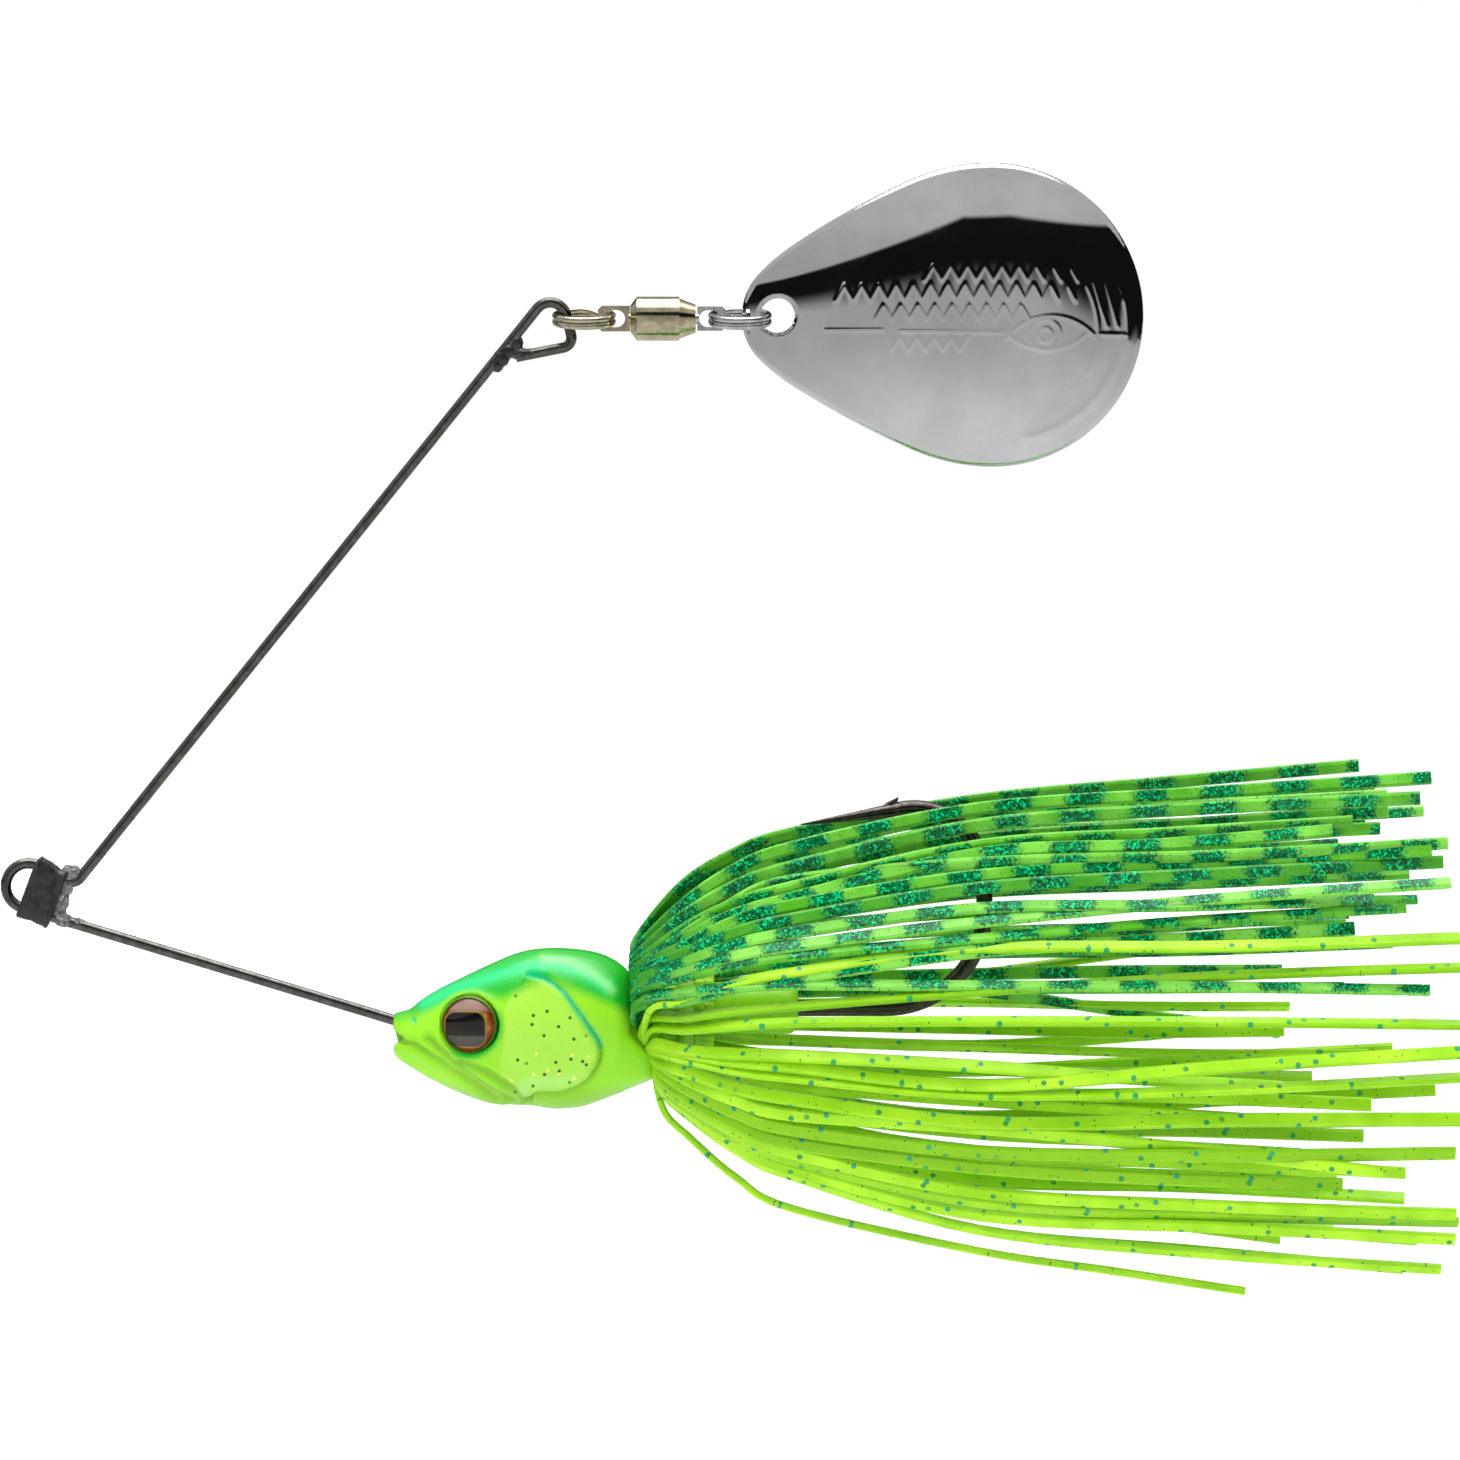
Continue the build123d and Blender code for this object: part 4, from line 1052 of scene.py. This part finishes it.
def make_blade():
    """The pressed blade: a thin shell of the CAD outline with its embossing in the mesh."""
    rim = blade_outline(0.22)
    turns = np.linspace(0, 2 * pi, 56, endpoint=False)
    hole = [(BLADE_HOLE[0] + BLADE_HOLE[1] * cos(t), BLADE_HOLE[1] * sin(t)) for t in turns]
    low, high = np.min(rim, axis=0), np.max(rim, axis=0)
    xs = np.arange(low[0], high[0], BLADE_GRID)
    zs = np.arange(low[1], high[1], BLADE_GRID)
    grid = np.array([(x + (BLADE_GRID / 2) * (j % 2), z) for j, z in enumerate(zs) for x in xs])
    keep = inside(grid, rim) & (distance_to(grid, rim + rim[:1]) > 0.08)
    hole_centre = (BLADE_HOLE[0], 0)
    keep &= distance_from(grid, hole_centre) > BLADE_HOLE[1] + 0.08
    flat = [Vector(p) for p in rim + hole] + [Vector(p) for p in grid[keep]]
    loops = [(0, len(rim)), (len(rim), len(rim) + len(hole))]
    edges = [(k, k + 1 if k + 1 < b else a) for a, b in loops for k in range(a, b)]
    found = delaunay_2d_cdt(flat, edges, [], 0, 1e-6)
    points = np.array([tuple(v) for v in found[0]])
    middles = np.array([points[list(f)].mean(axis=0) for f in found[2]])
    kept = inside(middles, rim) & (distance_from(middles, hole_centre) > BLADE_HOLE[1] * 0.99)
    front_faces = [tuple(f) for f, good in zip(found[2], kept) if good]
    press = np.zeros(len(points))
    for line in blade_lines():
        press = np.maximum(press, 0.034 * hump(distance_to(points, line), 0, 0.14))
    press += 0.06 * hump(distance_to(points, blade_crease()), 0, 0.35)
    to_rim = distance_to(points, rim + rim[:1])
    to_hole = np.abs(distance_from(points, hole_centre) - BLADE_HOLE[1])
    press -= 0.16 * smoothstep(0.28, 0.0, to_rim) + 0.08 * smoothstep(0.25, 0.0, to_hole)
    back_press = press + 0.24 * smoothstep(0.28, 0.0, to_rim) + 0.10 * smoothstep(0.25, 0.0, to_hole)
    front = blade_half(points, BLADE_FRONT_RADIUS, press)
    back = blade_half(points, BLADE_BACK_RADIUS, back_press)
    count = len(points)
    back_faces = [tuple(i + count for i in reversed(f)) for f in front_faces]
    used = {}
    for f in front_faces:
        for a, b in zip(f, f[1:] + f[:1]):
            used[(a, b)] = used.get((a, b), 0) + 1
    walls = [(b, a, a + count, b + count) for a, b in used if (b, a) not in used]
    points = np.concatenate([front, back])
    return mesh_piece("pressed_blade", points, front_faces + back_faces + walls, chrome_material(),
                      "spinner_blade", ["blade"])


# ------------------------------------------------------------------- rings and wires


def make_split_ring(name, node, body, material, start):
    """A split ring: two flat turns of round wire with a step between them and cut ends."""
    low, high = (millimetres(c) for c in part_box(node))
    wire = 0.245
    centre = np.array([(low[0] + high[0]) / 2, 0, CHAIN_Z])
    radius = (high[0] - low[0]) / 2 - 0.25
    axis = np.array([0, -sin(RING_ROLL), cos(RING_ROLL)])
    side = np.array([0, cos(RING_ROLL), sin(RING_ROLL)])
    turns = np.linspace(start, start + 4 * pi - 0.25, 190)
    step = smoothstep(start + 2 * pi - 0.75, start + 2 * pi + 0.5, turns)
    path = centre + radius * (np.cos(turns)[:, None] * np.array([1, 0, 0]) + np.sin(turns)[:, None] * side)
    path += ((2 * step - 1) * 0.235)[:, None] * axis
    points = swept(path, circle_section(wire, 16), axis)
    return mesh_piece(name, points, tube_faces(190, 16), material, body, [node], None, 40)


def make_sleeve():
    """The black rubber sleeve behind the line tie: pinched at its middle, lips at both ends."""
    low, high = (millimetres(c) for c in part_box("tie_sleeve"))
    centre = (low + high) / 2
    slope = radians(22)
    forward = np.array([cos(slope), 0, -sin(slope)])
    up = np.array([sin(slope), 0, cos(slope)])
    around, rings = 96, 44
    turns = np.linspace(0, 2 * pi, around, endpoint=False)
    points = []
    for t in np.linspace(-1, 1, rings):
        lip = hump(abs(t), 0.9, 0.12)
        waist = hump(t, 0.05, 0.42)
        tall = 2.40 + 0.05 * lip - 0.10 * waist
        wide = 0.86 + 0.08 * lip - 0.12 * waist
        end = smoothstep(0.9, 1.0, abs(t)) * 0.13
        square = 0.62
        c, s = np.cos(turns), np.sin(turns)
        u = np.sign(c) * np.abs(c) ** square * (tall - end)
        v = np.sign(s) * np.abs(s) ** square * (wide - end)
        u -= 0.30 * hump(t, 0.55, 0.4) * (c > 0) * np.abs(c)
        lengthwise = 1.27 * t + 0.04 * np.sin(2 * turns + 0.7) + 0.03 * np.cos(3 * turns)
        points.append(centre + np.outer(lengthwise, forward) + np.outer(u, up) + np.outer(v, (0, 1, 0)))
    points = np.concatenate(points)
    outward = points - (centre + ((points - centre) @ forward)[:, None] * forward)
    outward /= np.linalg.norm(outward, axis=1)[:, None]
    local_up, local_along = (points - centre) @ up, (points - centre) @ forward
    fold = 0.13 * hump(local_up + 0.9 + 0.35 * local_along, 0, 0.22)
    fold += 0.07 * hump(local_up - 0.7 - 0.3 * local_along, 0, 0.2)
    lumps = np.array([noise.fractal(Vector(p) * 1.3, 0.8, 2.0, 3) for p in points])
    points = points + (0.06 * lumps - fold)[:, None] * outward
    faces = tube_faces(rings, around)
    mesh_piece("crimped_sleeve", points, faces, black_rubber, "bait", ["tie_sleeve"])


def make_glue_and_solder():
    """Glue swelling out of the sleeve's rear end, and the solder in the blade loop's corner."""
    glue_balls = [
        ((3.8, 0, 0.75), (0.6, 0.5, 0.7)), ((3.6, 0.1, -0.1), (0.58, 0.52, 0.8)),
        ((3.25, 0, -1.1), (0.6, 0.5, 0.8)), ((3.05, 0.05, -2.2), (0.6, 0.5, 0.8)),
        ((3.5, 0, -2.75), (0.75, 0.48, 0.5)), ((4.4, 0.05, -2.98), (0.75, 0.46, 0.44)),
        ((4.3, -0.1, 0.9), (0.4, 0.42, 0.5)), ((3.55, -0.1, -1.5), (0.3, 0.3, 0.35)),
        ((2.2, 0.0, -0.75), (0.9, 0.45, 1.7)),
    ]
    blob("cured_glue", glue_balls, 0.07, 0.05, glue, "bait", ["tie_adhesive"])
    solder_balls = [
        ((36.75, 0, 40.0), (0.62, 0.52, 0.62)), ((36.25, 0, 39.45), (0.62, 0.50, 0.7)),
        ((37.35, 0, 40.55), (0.55, 0.47, 0.7)), ((37.7, 0, 39.75), (0.85, 0.48, 0.46)),
        ((35.95, 0, 38.95), (0.48, 0.46, 0.6)), ((38.4, 0, 39.75), (0.5, 0.44, 0.43)),
    ]
    blob("solder_fillet", solder_balls, 0.06, 0.03, solder_metal, "bait", ["loop_solder"])


# ----------------------------------------------------------------------------- studio

CAMERA_LENS = 200.0
SENSOR = 36.0
VIEW_WIDTH = 109.5
VIEW_CENTRE = (53.4, 11.55)
FLOOR_Z = -52.0


def make_floor():
    """The pale floor, which the metal doesn't reflect."""
    mesh = bpy.data.meshes.new("floor")
    size, z = 6000 * MM, FLOOR_Z * MM
    corners = [(-size, -size, z), (size, -size, z), (size, size, z), (-size, size, z)]
    mesh.from_pydata(corners, [], [(0, 1, 2, 3)])
    mesh.materials.append(floor_material())
    floor = bpy.data.objects.new("floor", mesh)
    bpy.context.scene.collection.objects.link(floor)
    floor.visible_glossy = False


def make_world():
    """A soft pale surround: bright overhead, with the dark band that shows in the mirror blade."""
    world = bpy.data.worlds.new("studio")
    bpy.context.scene.world = world
    world.use_nodes = True
    sky = Nodes(world.node_tree)
    sky.tree.nodes.clear()
    x, y, z = sky.parts(sky.node("TexCoord").outputs["Generated"])
    left = sky.sum("MINIMUM", x, 0.05)
    right = sky.sum("MAXIMUM", sky.minus(x, 0.3), 0.0)
    far_right = sky.sum("MAXIMUM", sky.minus(x, 0.45), 0.0)
    band = sky.plus(sky.plus(sky.times(left, 0.38), sky.times(right, -0.2)), 0.545)
    wrapped = sky.sum("DIVIDE", sky.plus(z, sky.times(far_right, 0.6)), band)
    shade = sky.times(sky.ease(wrapped, 0.2, 0.62), sky.ease(sky.sum("DIVIDE", z, band), 1.03, 0.98))
    shade = sky.times(shade, sky.ease(z, -0.11, -0.07))
    wall = sky.plus(sky.ease(z, -0.75, 0.05, 0.86, 0.50), sky.ease(z, 0.35, 0.6, 0.0, 0.12))
    wall = sky.times(wall, sky.minus(1.0, sky.times(shade, 0.985)))
    light = sky.plus(wall, sky.ease(z, 0.80, 0.99, 0.0, 5.0))
    camera_ray = sky.node("LightPath").outputs["Is Camera Ray"]
    strength = sky.node("Mix", {0: camera_ray, 2: light, 3: 1.0}, data_type="FLOAT").outputs[0]
    background = sky.node("Background", {"Color": (1.0, 1.0, 1.0, 1.0), "Strength": strength})
    sky.node("OutputWorld", {"Surface": background.outputs[0]})


def make_softbox(name, place, aim, size, power):
    """A rectangular studio light that isn't itself reflected, places in millimetres."""
    data = bpy.data.lights.new(name, "AREA")
    data.shape, data.size, data.size_y = "RECTANGLE", size[0] * MM, size[1] * MM
    data.energy = power
    light = bpy.data.objects.new(name, data)
    bpy.context.scene.collection.objects.link(light)
    light.location = Vector(place) * MM
    light.visible_glossy = False
    light.rotation_euler = (Vector(aim) * MM - light.location).to_track_quat("-Z", "Y").to_euler()


def make_camera():
    """A long lens square to the bait's side, framed as the bait is usually shown."""
    data = bpy.data.cameras.new("camera")
    data.lens, data.sensor_width = CAMERA_LENS, SENSOR
    camera = bpy.data.objects.new("camera", data)
    bpy.context.scene.collection.objects.link(camera)
    distance = VIEW_WIDTH / SENSOR * CAMERA_LENS
    camera.location = Vector((VIEW_CENTRE[0], -distance, VIEW_CENTRE[1])) * MM
    camera.rotation_euler = (radians(90), 0, 0)
    data.clip_start, data.clip_end = 10 * MM, 20000 * MM
    bpy.context.scene.camera = camera
    bpy.context.scene.view_settings.view_transform = "Standard"


make_camera()
make_floor()
make_world()
make_softbox("key_softbox", (-160, -420, 420), (52, 0, 8), (320, 320), 1.6)
make_head()
make_skirt()
make_waist()
make_blade()
make_split_ring("arm_split_coil", "arm_split_ring", "arm_ring", ring_gold, 1.2)
make_split_ring("blade_split_coil", "blade_split_ring", "blade_ring", ring_bright, 2.4)
make_sleeve()
make_glue_and_solder()
